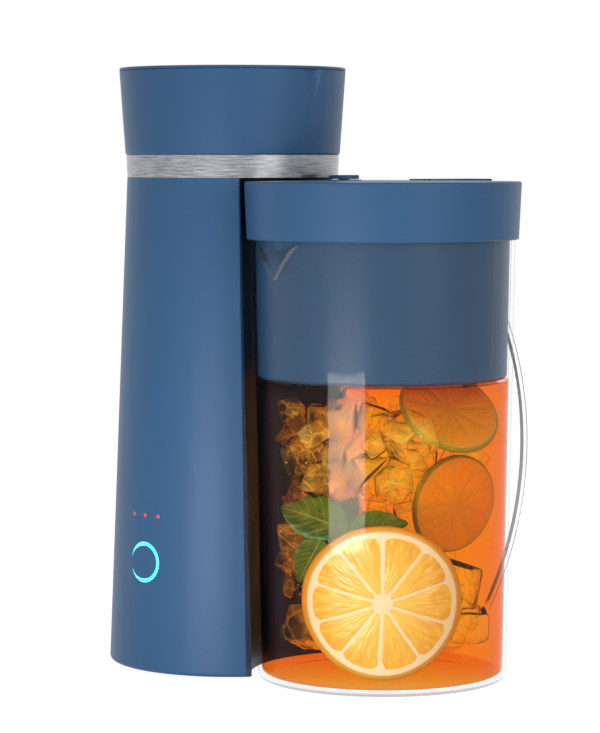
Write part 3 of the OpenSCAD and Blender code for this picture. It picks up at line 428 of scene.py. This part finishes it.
def clouded_ice(f):
    """Ice, seen from the tea: clear, with a milky heart, frosted patches, bright cracks and a
    painted white sheen at its edges.
    """
    cloud = f.spots(70, 4, 0.6, seed=1.0)
    crack = f.cells(55, "DISTANCE_TO_EDGE").below(0.025, 0.02)
    frost = f.spots(240, 3, 0.6, seed=6.0)
    away = f.turned_away(0.35)
    normal = f.bump(cloud * 2 + frost * 0.3, 1.2 * MM, 0.7)
    clear = f.node(
        "ShaderNodeBsdfRefraction",
        {},
        {
            "Color": (1, 1, 1),
            "Roughness": 0.02 + 0.18 * frost.above(0.45, 0.15),
            "IOR": 1.042,
            "Normal": normal,
        },
    )
    white = f.surface(Base_Color=(1.0, 0.95, 0.80), Roughness=0.15, Normal=normal)
    # The white that grows where a face turns away is a painted sheen; the cloud and the cracks
    # are the ice's own.
    amount = cloud.above(0.56, 0.14) * 0.30 + crack * 0.22 + away ** 4 * 0.12
    return f.over(amount.least(0.5), clear, white)


def brewed_tea(name):
    """Tea that deepens from amber to red with the way through it, round the ice in it."""
    f = Finish(name)
    tint = (f.turned_away() * 1.15).least(0.95)
    body = f.over(tint, f.clear((1, 1, 1)), f.clear((0.92, 0.37, 0.05)))
    gloss = f.node("ShaderNodeFresnel", {}, {"IOR": 1.1}) * f.outside()
    skin = f.over(gloss, body, f.shine(Roughness=0.03))
    iced = f.node("ShaderNodeAttribute", {"attribute_name": "ice"}, {}, "Fac")
    depth = f.node(
        "ShaderNodeVolumeAbsorption", {}, {"Color": (0.998, 0.845, 0.05), "Density": 80.0}
    )
    return f.done(f.over(iced, skin, clouded_ice(f)), Volume=depth)


def round_map(f):
    """Distance from a slice's middle, 1 at its rim, and the angle round it, from its own map."""
    u, v, _ = f.parts(f.own_map())
    x, z = u * 2 - 1, v * 2 - 1
    return (x * x + z * z) ** 0.5, x.turn(z)


def citrus_pulp(name, bright, mellow, deep):
    """Juice sacs that run out from the core, with paler tips and a few clear ones."""
    f = Finish(name)
    radius, angle = round_map(f)
    wander = f.spots(150, 2, seed=4.0) * 0.9
    sacs = f.cells(1, at=f.joined(angle * 15 + wander, radius * 7 + wander, 0.0))
    strands = f.spots(1, 3, 0.6, at=f.joined(angle * 26, radius * 3.2, 0.0), seed=9.0)
    cloud = f.spots(60, 3)
    tone = f.ramp(sacs * 0.55 + strands * 0.45, (0.18, bright), (0.42, mellow), (0.72, deep))
    return f.done(
        f.surface(
            Base_Color=f.mix((0.75 - radius) * 0.8 + cloud * 0.35, tone, bright),
            Roughness=0.22,
            Subsurface_Weight=0.3,
            Subsurface_Radius=(0.012, 0.007, 0.002),
            Normal=f.bump(strands * 0.3 - sacs, 0.5 * MM, 0.6),
        )
    )


def citrus_rind(name, skin, pith, edge=0.93):
    """Pith on the cut faces, and from `edge` of the radius out the pored skin of the rim."""
    f = Finish(name)
    radius, angle = round_map(f)
    pores = f.cells(900, "SMOOTH_F1")
    blush = f.spots(70, 3)
    fibre = f.spots(1, 3, 0.7, at=f.joined(angle * 30, radius * 20, 0.0))
    rim = (radius + (blush - 0.5) * 0.02).above(edge, 0.012)
    cut = f.mix(fibre, shade(pith, 0.86), pith)
    return f.done(
        f.surface(
            Base_Color=f.mix(rim, cut, f.mix(blush, shade(skin, 0.8), skin)),
            Roughness=0.36 + 0.2 * blush,
            Subsurface_Weight=0.2,
            Subsurface_Radius=(0.006, 0.004, 0.001),
            Normal=f.bump(pores * rim + fibre * 0.2, 0.25 * MM, 0.5),
        )
    )


def mint_leaf(name):
    """Leaf green with paler veins, read from the leaf's own map."""
    f = Finish(name)
    along, across, _ = f.parts(f.own_map())
    side = (across - 0.5).size() * 2
    rib = side.below(0.05, 0.03)
    branch = ((along * VEINS - side * VEIN_SLANT) * math.pi).sine().size().below(0.16, 0.1)
    blister = f.cells(420, "SMOOTH_F1")
    mottle = f.spots(160, 3)
    veins = rib.most(branch * 0.8)
    dark, leaf_green, light = (0.03, 0.10, 0.018), (0.08, 0.19, 0.03), (0.20, 0.33, 0.07)
    green = f.ramp(mottle, (0.3, dark), (0.55, leaf_green), (0.8, light))
    return f.done(
        f.surface(
            Base_Color=f.mix(veins * 0.6, green, (0.38, 0.50, 0.16)),
            Roughness=0.42,
            Subsurface_Weight=0.15,
            Subsurface_Radius=(0.001, 0.003, 0.0005),
            Normal=f.bump(blister * 0.6 - veins * 0.6, 0.5 * MM, 0.7),
        )
    )


def air_bubble(name):
    """A bubble as a pale ball: its pale colour is a painted glint, for the light that a bubble
    reflects.
    """
    f = Finish(name)
    skin = f.spots(900, 2)
    # Painted glint: the pale, warm colour stands in for the bubble's reflection.
    return f.done(
        f.surface(
            Base_Color=f.mix(skin, (0.95, 0.80, 0.55), (1.0, 0.93, 0.78)),
            Roughness=0.08 + 0.1 * skin,
        )
    )


def glow_ring(name):
    """The lit ring round the button, a little uneven as such light guides are."""
    f = Finish(name)
    speck = f.spots(500, 2)
    return f.done(
        f.surface(
            Base_Color=f.mix(speck, (0.08, 0.85, 0.78), (0.14, 0.98, 0.92)),
            Roughness=0.3,
            Emission_Color=f.mix(speck * 0.4, (0.06, 0.86, 0.80), (0.2, 1.0, 0.95)),
            Emission_Strength=0.75,
        )
    )


def lamp_lens(name):
    """The small red lamps over the button, dimly lit."""
    f = Finish(name)
    speck = f.spots(1500, 2)
    return f.done(
        f.surface(
            Base_Color=f.mix(speck, (0.38, 0.02, 0.05), (0.55, 0.06, 0.06)),
            Roughness=0.2,
            Emission_Color=f.mix(speck, (0.45, 0.02, 0.05), (0.65, 0.10, 0.06)),
            Emission_Strength=0.5,
        )
    )


# Shapes


def mesh_of(name, bm):
    """A mesh with what a bmesh holds, which is freed."""
    mesh = bpy.data.meshes.new(name)
    bm.to_mesh(mesh)
    bm.free()
    return mesh


def pitcher_piece(name, mesh):
    """A smooth piece, with its place in its mesh, that goes with the pitcher."""
    for polygon in mesh.polygons:
        polygon.use_smooth = True
    piece = link(name, mesh)
    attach(piece, "pitcher")
    return piece


def finished_piece(name, bm, finish):
    """A piece that goes with the pitcher, from a bmesh, in one finish."""
    mesh = mesh_of(name, bm)
    mesh.materials.append(finish)
    return pitcher_piece(name, mesh)


def turns(steps):
    """Angles at even steps of a whole turn."""
    return [2 * math.pi * i / steps for i in range(steps)]


def close_rings(bm, rings, flipped=False):
    """Faces between rings of vertices that lie one after another. A pole is a ring of one."""
    for low, high in zip(rings, rings[1:]):
        steps = max(len(low), len(high))
        for i in range(steps):
            j = (i + 1) % steps
            if len(low) == 1:
                corners = [low[0], high[j], high[i]]
            elif len(high) == 1:
                corners = [low[i], low[j], high[0]]
            else:
                corners = [low[i], low[j], high[j], high[i]]
            bm.faces.new([corners[0], *corners[:0:-1]] if flipped else corners)


def lathe(outline, centre, steps=128):
    """A closed solid turned from (radius, height) pairs that start and end on the axis."""
    bm = bmesh.new()
    rings = []
    for radius, height in outline:
        angles = turns(steps) if radius else [0]
        rings.append([
            bm.verts.new(
                (centre.x + radius * math.cos(a), centre.y + radius * math.sin(a), height)
            )
            for a in angles
        ])
    close_rings(bm, rings)
    bmesh.ops.recalc_face_normals(bm, faces=bm.faces)
    return bm


def inner_radius(height):
    """Radius of the pitcher's inner wall at a height."""
    return FOOT_RADIUS + (RIM_RADIUS - FOOT_RADIUS) * height / PITCHER_RIM - PITCHER_WALL


# Tea and ice


def tea_outline():
    """From the middle of the tea's floor, up its side, to the middle of its top."""
    corner = 2 * MM
    corner_steps, side_steps = 6, 12
    floor = inner_radius(TEA_FLOOR) - TEA_GAP
    side_start = TEA_FLOOR + corner
    outline = [(0, TEA_FLOOR)]
    for i in range(corner_steps + 1):
        a = math.pi / 2 * i / corner_steps
        outline.append((floor - corner * (1 - math.sin(a)), side_start - corner * math.cos(a)))
    for i in range(1, side_steps + 1):
        height = side_start + (TEA_TOP - side_start) * i / side_steps
        outline.append((inner_radius(height) - TEA_GAP, height))

    # The tea creeps up the wall, so its top dips towards the middle
    dip, dip_width, dip_steps = 1.2 * MM, 3.5 * MM, 5
    brim = outline[-1][0]
    for i in range(1, dip_steps + 1):
        share = i / dip_steps
        outline.append((brim - dip_width * share, TEA_TOP - dip * (1 - (1 - share) ** 2)))
    outline.append((0, TEA_TOP - dip))
    return outline


def tea_fill(ice):
    """The tea and its ice: each cube is a hollow in the tea, faced with ice."""
    bm = lathe(tea_outline(), PITCHER)
    outer = len(bm.verts)
    bmesh.ops.reverse_faces(ice, faces=ice.faces)
    hollows = mesh_of("hollows", ice)
    bm.from_mesh(hollows)
    bpy.data.meshes.remove(hollows)
    piece = finished_piece("tea_with_ice", bm, brewed_tea("tea"))
    marks = piece.data.attributes.new("ice", "FLOAT", "POINT")
    for i, mark in enumerate(marks.data):
        mark.value = 1.0 if i >= outer else 0.0


def crowds_fruit(across, height, towards):
    """Whether a cube there would run into the lemon and its mint, or into the limes, in mm."""
    by_lemon = towards > 12 and height < 104 and abs(across) < 44
    by_limes = towards > -6 and height > 62 and across > 16
    return by_lemon or by_limes


def ice_cubes():
    """Cubes tumbled through the tea, clear of the fruit and of one another, in mm.

    A cube's edge, the reach of its corners and its spacing are shares of its size.
    """
    large, small = (17, 26), (12, 17)
    large_tries, tries = 5000, 7000
    tea_radius, tea_low, tea_high = 62, 5, 154
    edge, corner_reach, spacing = 0.9, 0.82, 0.55
    chance = random.Random(11)
    bm = bmesh.new()
    placed = []
    for turn in range(tries):
        size = chance.uniform(*(large if turn < large_tries else small))
        reach = corner_reach * size
        r = (tea_radius - reach) * math.sqrt(chance.uniform(0, 1))
        a = chance.uniform(0, 2 * math.pi)
        across, towards = r * math.cos(a), r * math.sin(a)
        height = chance.uniform(tea_low + reach, tea_high - reach)
        if crowds_fruit(across, height, towards):
            continue
        centre = Vector((across, towards, height))
        if any((centre - other).length < (size + width) * spacing for other, width in placed):
            continue
        placed.append((centre, size))
        cube = bmesh.ops.create_cube(bm, size=size * MM * edge)
        for vertex in cube["verts"]:
            vertex.co *= chance.uniform(0.88, 1.06)
        angle = chance.uniform(0, 3.1)
        x, y, z = (chance.uniform(-1, 1) for _ in range(3))
        tumbled = Matrix.Rotation(angle, 4, Vector((x, y, z + 1e-3)).normalized())
        place = Matrix.Translation(in_view(across, height, towards)) @ tumbled
        bmesh.ops.transform(bm, verts=cube["verts"], matrix=place)
    bmesh.ops.bevel(
        bm, geom=list(bm.edges), offset=2.4 * MM, segments=3, profile=0.6, affect="EDGES"
    )
    bmesh.ops.recalc_face_normals(bm, faces=bm.faces)
    bm.normal_update()
    return bm


def bubble_tree():
    """Geometry nodes that strew small balls of random sizes over a surface."""
    tree = bpy.data.node_groups.new("bubbles_on_ice", "GeometryNodeTree")
    tree.is_modifier = True
    for name, kind in (
        ("Geometry", "NodeSocketGeometry"),
        ("Bubbles per square metre", "NodeSocketFloat"),
        ("Bubble radius", "NodeSocketFloat"),
        ("Seed", "NodeSocketInt"),
        ("Finish", "NodeSocketMaterial"),
    ):
        tree.interface.new_socket(name, in_out="INPUT", socket_type=kind)
    tree.interface.new_socket("Geometry", in_out="OUTPUT", socket_type="NodeSocketGeometry")
    new = tree.nodes.new
    enter = new("NodeGroupInput").outputs
    leave = new("NodeGroupOutput").inputs
    strewn = new("GeometryNodeDistributePointsOnFaces")
    ball = new("GeometryNodeMeshIcoSphere")
    ball.inputs["Subdivisions"].default_value = 1
    size = new("FunctionNodeRandomValue")
    least, most = size.inputs[2], size.inputs[3]
    least.default_value, most.default_value = 0.35, 1.0
    copies = new("GeometryNodeInstanceOnPoints")
    real = new("GeometryNodeRealizeInstances")
    painted = new("GeometryNodeSetMaterial")
    for start, end in (
        (enter["Geometry"], strewn.inputs["Mesh"]),
        (enter["Bubbles per square metre"], strewn.inputs["Density"]),
        (enter["Seed"], strewn.inputs["Seed"]),
        (enter["Bubble radius"], ball.inputs["Radius"]),
        (strewn.outputs["Points"], copies.inputs["Points"]),
        (ball.outputs["Mesh"], copies.inputs["Instance"]),
        (size.outputs[1], copies.inputs["Scale"]),
        (copies.outputs["Instances"], real.inputs["Geometry"]),
        (real.outputs["Geometry"], painted.inputs["Geometry"]),
        (enter["Finish"], painted.inputs["Material"]),
        (painted.outputs["Geometry"], leave["Geometry"]),
    ):
        tree.links.new(start, end)
    return tree


def bubbles(ice):
    """Small bubbles that cling to the ice."""
    mesh = bpy.data.meshes.new("bubble_ground")
    ice.to_mesh(mesh)
    ground = link("bubble_ground", mesh)
    modifier = ground.modifiers.new("bubbles", "NODES")
    modifier.node_group = bubble_tree()
    values = {
        "Bubbles per square metre": 6000.0,
        "Bubble radius": 0.55 * MM,
        "Seed": 3,
        "Finish": air_bubble("air_bubble"),
    }
    for item in modifier.node_group.interface.items_tree:
        if item.in_out == "INPUT" and item.name in values:
            modifier[item.identifier] = values[item.name]
    bpy.context.view_layer.update()
    strewn = ground.evaluated_get(bpy.context.evaluated_depsgraph_get())
    made = bpy.data.meshes.new_from_object(strewn)
    made.name = "bubbles"
    bpy.data.objects.remove(ground)
    pitcher_piece("bubbles", made)


# Fruit and mint


def flat_slice(centre, tilt, lean, roll=0.0):
    """Puts a slice that is drawn in X and Z, with its thickness along Y, into the tea.

    It starts face on to the viewer, and its turns are in radians.
    """
    place = (
        Matrix.Translation(centre)
        @ Matrix.Rotation(AZIMUTH + tilt, 4, "Z")
        @ Matrix.Rotation(roll, 4, "Y")
        @ Matrix.Rotation(lean, 4, "X")
    )
    return lambda point: place @ point


def wall_slice(across, height, gap, thick, squash):
    """Puts a slice against the pitcher's wall, bent to it, with a gap of tea between.

    Its middle is given across the view and up, and `squash` is the share of its height it keeps.
    """

    def place(point):
        x, z = across + point.x, height + point.z * squash
        radius = inner_radius(z) - gap - thick / 2 + point.y
        depth = math.sqrt(max(radius * radius - x * x, 0))
        return PITCHER + ACROSS * x - AWAY * depth + Vector((0, 0, z))

    return place


def mapped(bm, radius, place):
    """Gives a slice of fruit its round map, then puts it in its place."""
    uv = bm.loops.layers.uv.verify()
    for face in bm.faces:
        for loop in face.loops:
            at = loop.vert.co
            loop[uv].uv = (0.5 + at.x / radius / 2, 0.5 + at.z / radius / 2)
    for vertex in bm.verts:
        vertex.co = place(vertex.co)
    bmesh.ops.recalc_face_normals(bm, faces=bm.faces)
    return bm


def rind_wheel(radius, thick):
    """The whole cut wheel, with the edges of its cut faces rounded a little."""
    bm = bmesh.new()
    steps = 96
    # Shares of the radius and of the thickness, from the middle of a cut face to its rim
    half = [(0.0, 0.5), (0.3, 0.5), (0.6, 0.5), (0.90, 0.5), (0.96, 0.46), (1.0, 0.25)]
    outline = [(share, -level) for share, level in half] + half[::-1]
    rings = []
    for share, level in outline:
        angles = turns(steps) if share else [0]
        rings.append([
            bm.verts.new(
                (share * radius * math.cos(a), level * thick, share * radius * math.sin(a))
            )
            for a in angles
        ])
    close_rings(bm, rings, flipped=True)
    return bm


def pulp_wedges(radius, thick, segments):
    """Wedges of pulp on both cut faces: each dome's edges are sunk in the wheel."""
    bm = bmesh.new()
    core, pulp_rim, web = 0.13, 0.865, 0.020
    sunk, domed, corner = 0.49, 0.085, 0.05
    steps = 8
    chance = random.Random(segments * 7 + 1)
    uneven = [k + chance.uniform(-0.10, 0.10) for k in range(segments)]
    uneven = [uneven[-1] - segments, *uneven, uneven[0] + segments]
    walls = [(a + b) * math.pi / segments for a, b in zip(uneven, uneven[1:])]
    for face in (-1, 1):
        for start, end in zip(walls, walls[1:]):
            rows = []
            for row in range(steps + 1):
                t = row / steps
                r = radius * (core + (pulp_rim - core) * t)
                first, last = start + web * radius / r, end - web * radius / r
                made = []
                for i in range(steps + 1):
                    s = i / steps
                    a = first + (last - first) * s
                    reach = r - corner * radius * abs(2 * s - 1) ** 5 * t ** 3
                    dome = min(1, 4 * min(s, 1 - s), 5 * min(t, 1 - t) + 0.05)
                    y = face * thick * (sunk + domed * math.sin(dome * math.pi / 2))
                    made.append(bm.verts.new((reach * math.cos(a), y, reach * math.sin(a))))
                rows.append(made)
            for low, high in zip(rows, rows[1:]):
                for i in range(steps):
                    corners = (low[i], low[i + 1], high[i + 1], high[i])
                    bm.faces.new(corners if face > 0 else tuple(reversed(corners)))
    return bm


def citrus_slice(name, place, radius, thick, rind, pulp, segments=10):
    """A cut wheel of fruit: rind, white pith, and wedges of pulp that stand a little proud."""
    wheel = mapped(rind_wheel(radius, thick), radius, place)
    finished_piece(name + "_rind", wheel, rind)
    wedges = mapped(pulp_wedges(radius, thick, segments), radius, place)
    finished_piece(name + "_pulp", wedges, pulp)


def leaf(bm, base, along, face, length, width):
    """One serrated leaf from its stalk's end, into a mesh, with its map from stalk to tip."""
    cup, bend, ripple = 0.25, 0.3, 0.02
    teeth, tooth = 11, 0.10
    rows, cols = 33, 12
    along, face = Vector(along).normalized(), Vector(face).normalized()
    side = along.cross(face).normalized()
    face = side.cross(along).normalized()
    uv = bm.loops.layers.uv.verify()
    grid = []
    for i in range(rows + 1):
        t = i / rows
        half = width / 2 * math.sin(math.pi * t ** 0.8) ** 0.75 if 0 < t < 1 else 0
        if 0.04 < t < 0.97:
            half *= 1 + tooth * ((t * teeth) % 1 - 0.4)
        row = []
        for j in range(cols + 1):
            s = 2 * j / cols - 1
            lift = cup * half * s * s - bend * length * t * t * 0.5
            wave = math.sin(VEINS * math.pi * t - VEIN_SLANT * math.pi * abs(s))
            lift += ripple * length * wave * abs(s)
            point = base + along * (length * t) + side * (half * s) + face * lift
            row.append((bm.verts.new(point), (t, j / cols)))
        grid.append(row)
    for near, far in zip(grid, grid[1:]):
        for j in range(cols):
            corners = [near[j], near[j + 1], far[j + 1], far[j]]
            made = bm.faces.new([vertex for vertex, _ in corners])
            for loop, (_, place) in zip(made.loops, corners):
                loop[uv].uv = place


def mint_sprig():
    """Five leaves behind the lemon's top.

    Each has its root, the way it points, its length, its width and how far its face turns up.
    """
    bm = bmesh.new()
    for root, (across, up, towards), length, width, turn in (
        ((-19, 83, 55), (-36, 14, -20), 42, 25, 0.6),
        ((-19, 83, 54), (27, 5, -1), 31, 17, 0.5),
        ((-32, 80, 48), (-13, -27, -12), 32, 17, 0.2),
        ((-22, 84, 50), (-16, 17, -22), 30, 17, 1.0),
        ((-24, 84, 44), (10, 16, -8), 20, 13, 0.8),
    ):
        along = ACROSS * across + Vector((0, 0, up)) - AWAY * towards
        face = Vector((0, 0, turn)) - AWAY
        leaf(bm, in_view(*root), along, face, length * MM, width * MM)
    bmesh.ops.remove_doubles(bm, verts=bm.verts, dist=1e-6)
    piece = finished_piece("mint_leaves", bm, mint_leaf("mint_leaf"))
    piece.modifiers.new("thickness", "SOLIDIFY").thickness = 0.35 * MM


# Studio

CAMERA_REACH = 50
AIM_LEVEL = 0.16
FLOOR_REACH = 12
FLOOR_LEVEL = -0.2 * MM


def place_camera():
    """The photograph's camera."""
    camera = link("camera", bpy.data.cameras.new("camera"))
    camera.data.lens, camera.data.sensor_width = LENS, SENSOR
    camera.data.clip_end = CAMERA_REACH
    camera.location = VIEWPOINT
    camera.rotation_euler = (math.pi / 2 - PITCH, 0, AZIMUTH)
    bpy.context.scene.camera = camera


def soft_panel(name, angle, level, distance, size, power):
    """A light that faces the pitcher, at an angle from the viewer's side, in degrees.

    It is aimed level where it hangs below AIM_LEVEL, and at that level from above it.
    """
    light = bpy.data.lights.new(name, "AREA")
    light.shape = "RECTANGLE"
    light.size, light.size_y = size
    light.energy = power
    lamp = link(name, light)
    turn = math.radians(angle)
    lamp.location = PITCHER + distance * (ACROSS * math.sin(turn) - AWAY * math.cos(turn))
    lamp.location.z = level
    aim = PITCHER + Vector((0, 0, min(level, AIM_LEVEL)))
    lamp.rotation_euler = (aim - lamp.location).to_track_quat("-Z", "Y").to_euler()


def studio_world():
    """White where it is looked at, and a dim, slightly cold light on the object."""
    world = bpy.data.worlds.new("studio")
    bpy.context.scene.world = world
    w = Mixture(world)
    dim = w.node("ShaderNodeBackground", {}, {"Color": (0.95, 0.97, 1), "Strength": 0.33})
    white = w.node("ShaderNodeBackground", {}, {"Color": (1, 1, 1)})
    w.end("ShaderNodeOutputWorld", {"Surface": w.over(w.shown(), dim, white)})


def studio_floor():
    """A pale floor just below the feet, whitened where it is looked at, that keeps the shadow."""
    f = Finish("studio_floor")
    lit = f.node("ShaderNodeBsdfDiffuse", {}, {"Color": (0.94, 0.94, 0.94)})
    white = f.node("ShaderNodeEmission", {}, {"Color": (1, 1, 1), "Strength": 1.24})
    bm = bmesh.new()
    bmesh.ops.create_grid(bm, x_segments=2, y_segments=2, size=FLOOR_REACH)
    floor = link("studio_floor", mesh_of("studio_floor", bm))
    floor.data.materials.append(f.done(f.over(f.shown() * 0.75, lit, white)))
    floor.location.z = FLOOR_LEVEL


place_camera()
soft_panel("key_panel", angle=38, level=0.60, distance=1.5, size=(0.85, 0.75), power=8)
soft_panel("side_panel", angle=-58, level=0.85, distance=1.7, size=(1.0, 1.2), power=2.6)
soft_panel("top_panel", angle=10, level=1.7, distance=0.35, size=(1.2, 1.2), power=3)
soft_panel("strip_panel", angle=-31.5, level=0.06, distance=0.48, size=(0.27, 0.115), power=1.2)
studio_world()
studio_floor()

# The finish of each modelled node


def dress(finish, *names):
    """Gives nodes one finish."""
    for name in names:
        mesh = nodes[name].data
        mesh.materials.clear()
        mesh.materials.append(finish)


BLUE = (0.027, 0.088, 0.190)
BASKET_BLUE = (0.022, 0.060, 0.118)
BLUE_GREY = (0.11, 0.18, 0.27)
BLACK = (0.022, 0.023, 0.025)
RUBBER_BLACK = (0.02, 0.02, 0.021)
WHITE = (0.75, 0.75, 0.73)
SILICONE = (0.62, 0.62, 0.58)
BOARD_GREEN = (0.02, 0.13, 0.06)

dress(moulded_plastic("shell_blue", BLUE), "housing", "tank_collar", "brew_deck")
dress(
    moulded_plastic("lid_blue", BLUE), "tank_lid", "pitcher_lid", "strength_knob", "power_button"
)
dress(brushed_steel_round("band_steel", TOWER), "trim_band")
dress(moulded_plastic("basket_blue", BASKET_BLUE, 0.34, 0.002), "brew_basket", "shower_plate")
dress(moulded_plastic("tank_blue_grey", BLUE_GREY), "water_tank")
dress(
    moulded_plastic("base_black", BLACK, 0.5),
    "base_cover", "outlet_nozzle", "check_valve", "button_switch",
)
dress(
    moulded_plastic("white_moulding", WHITE, 0.35),
    "switch_plunger", "strength_shutter", "basket_filter",
)
dress(
    turned_steel("steel_parts"),
    "base_screws", "lid_hinge_pin", "boiler_brackets", "bracket_screws", "board_screws",
    "heating_rod", "thermal_fuse", "boiler",
)
dress(soft_rubber("black_rubber", RUBBER_BLACK), "rubber_feet", "cord_gland", "thermostat")
dress(soft_rubber("pale_silicone", SILICONE, 0.45), "inlet_hose", "riser_tube")
dress(moulded_plastic("board_green", BOARD_GREEN, 0.3), "control_board")
dress(glow_ring("ring_glow"), "light_ring")
dress(lamp_lens("lamp_red"), "indicator_lenses")
# The pitcher and its bow are clear, with painted shade in these dark greys at their edges.
dress(clear_wall("clear_plastic", wall_edge_shade, (0.07, 0.08, 0.10)), "pitcher")
dress(clear_wall("clear_handle", bow_edge_shade, (0.03, 0.03, 0.035)), "pitcher_handle")

# The drink

ice = ice_cubes()
bubbles(ice)
tea_fill(ice)

LEMON_THICK = 5 * MM
LIME_THICK = 4 * MM
LIME_WEDGES = 9
citrus_slice(
    "lemon",
    wall_slice(-1.5 * MM, 47.5 * MM, gap=1.2 * MM, thick=LEMON_THICK, squash=0.965),
    40.8 * MM,
    LEMON_THICK,
    citrus_rind("lemon_rind", (0.86, 0.40, 0.02), (1.0, 0.88, 0.64)),
    citrus_pulp("lemon_pulp", (1.0, 0.78, 0.16), (0.95, 0.54, 0.03), (0.82, 0.38, 0.008)),
)
lime = (
    citrus_rind("lime_rind", (0.36, 0.50, 0.30), (0.90, 0.72, 0.36), 0.955),
    citrus_pulp("lime_pulp", (1.0, 0.82, 0.38), (1.0, 0.70, 0.24), (0.92, 0.55, 0.14)),
)
lime_high = flat_slice(in_view(34, 141, 16), tilt=0.2, lean=-0.8, roll=0.25)
citrus_slice("lime_high", lime_high, 27 * MM, LIME_THICK, *lime, LIME_WEDGES)
lime_low = flat_slice(in_view(37, 92, 8), tilt=0.6, lean=0.15)
citrus_slice("lime_low", lime_low, 26 * MM, LIME_THICK, *lime, LIME_WEDGES)
mint_sprig()

bpy.context.scene.view_settings.view_transform = "Standard"
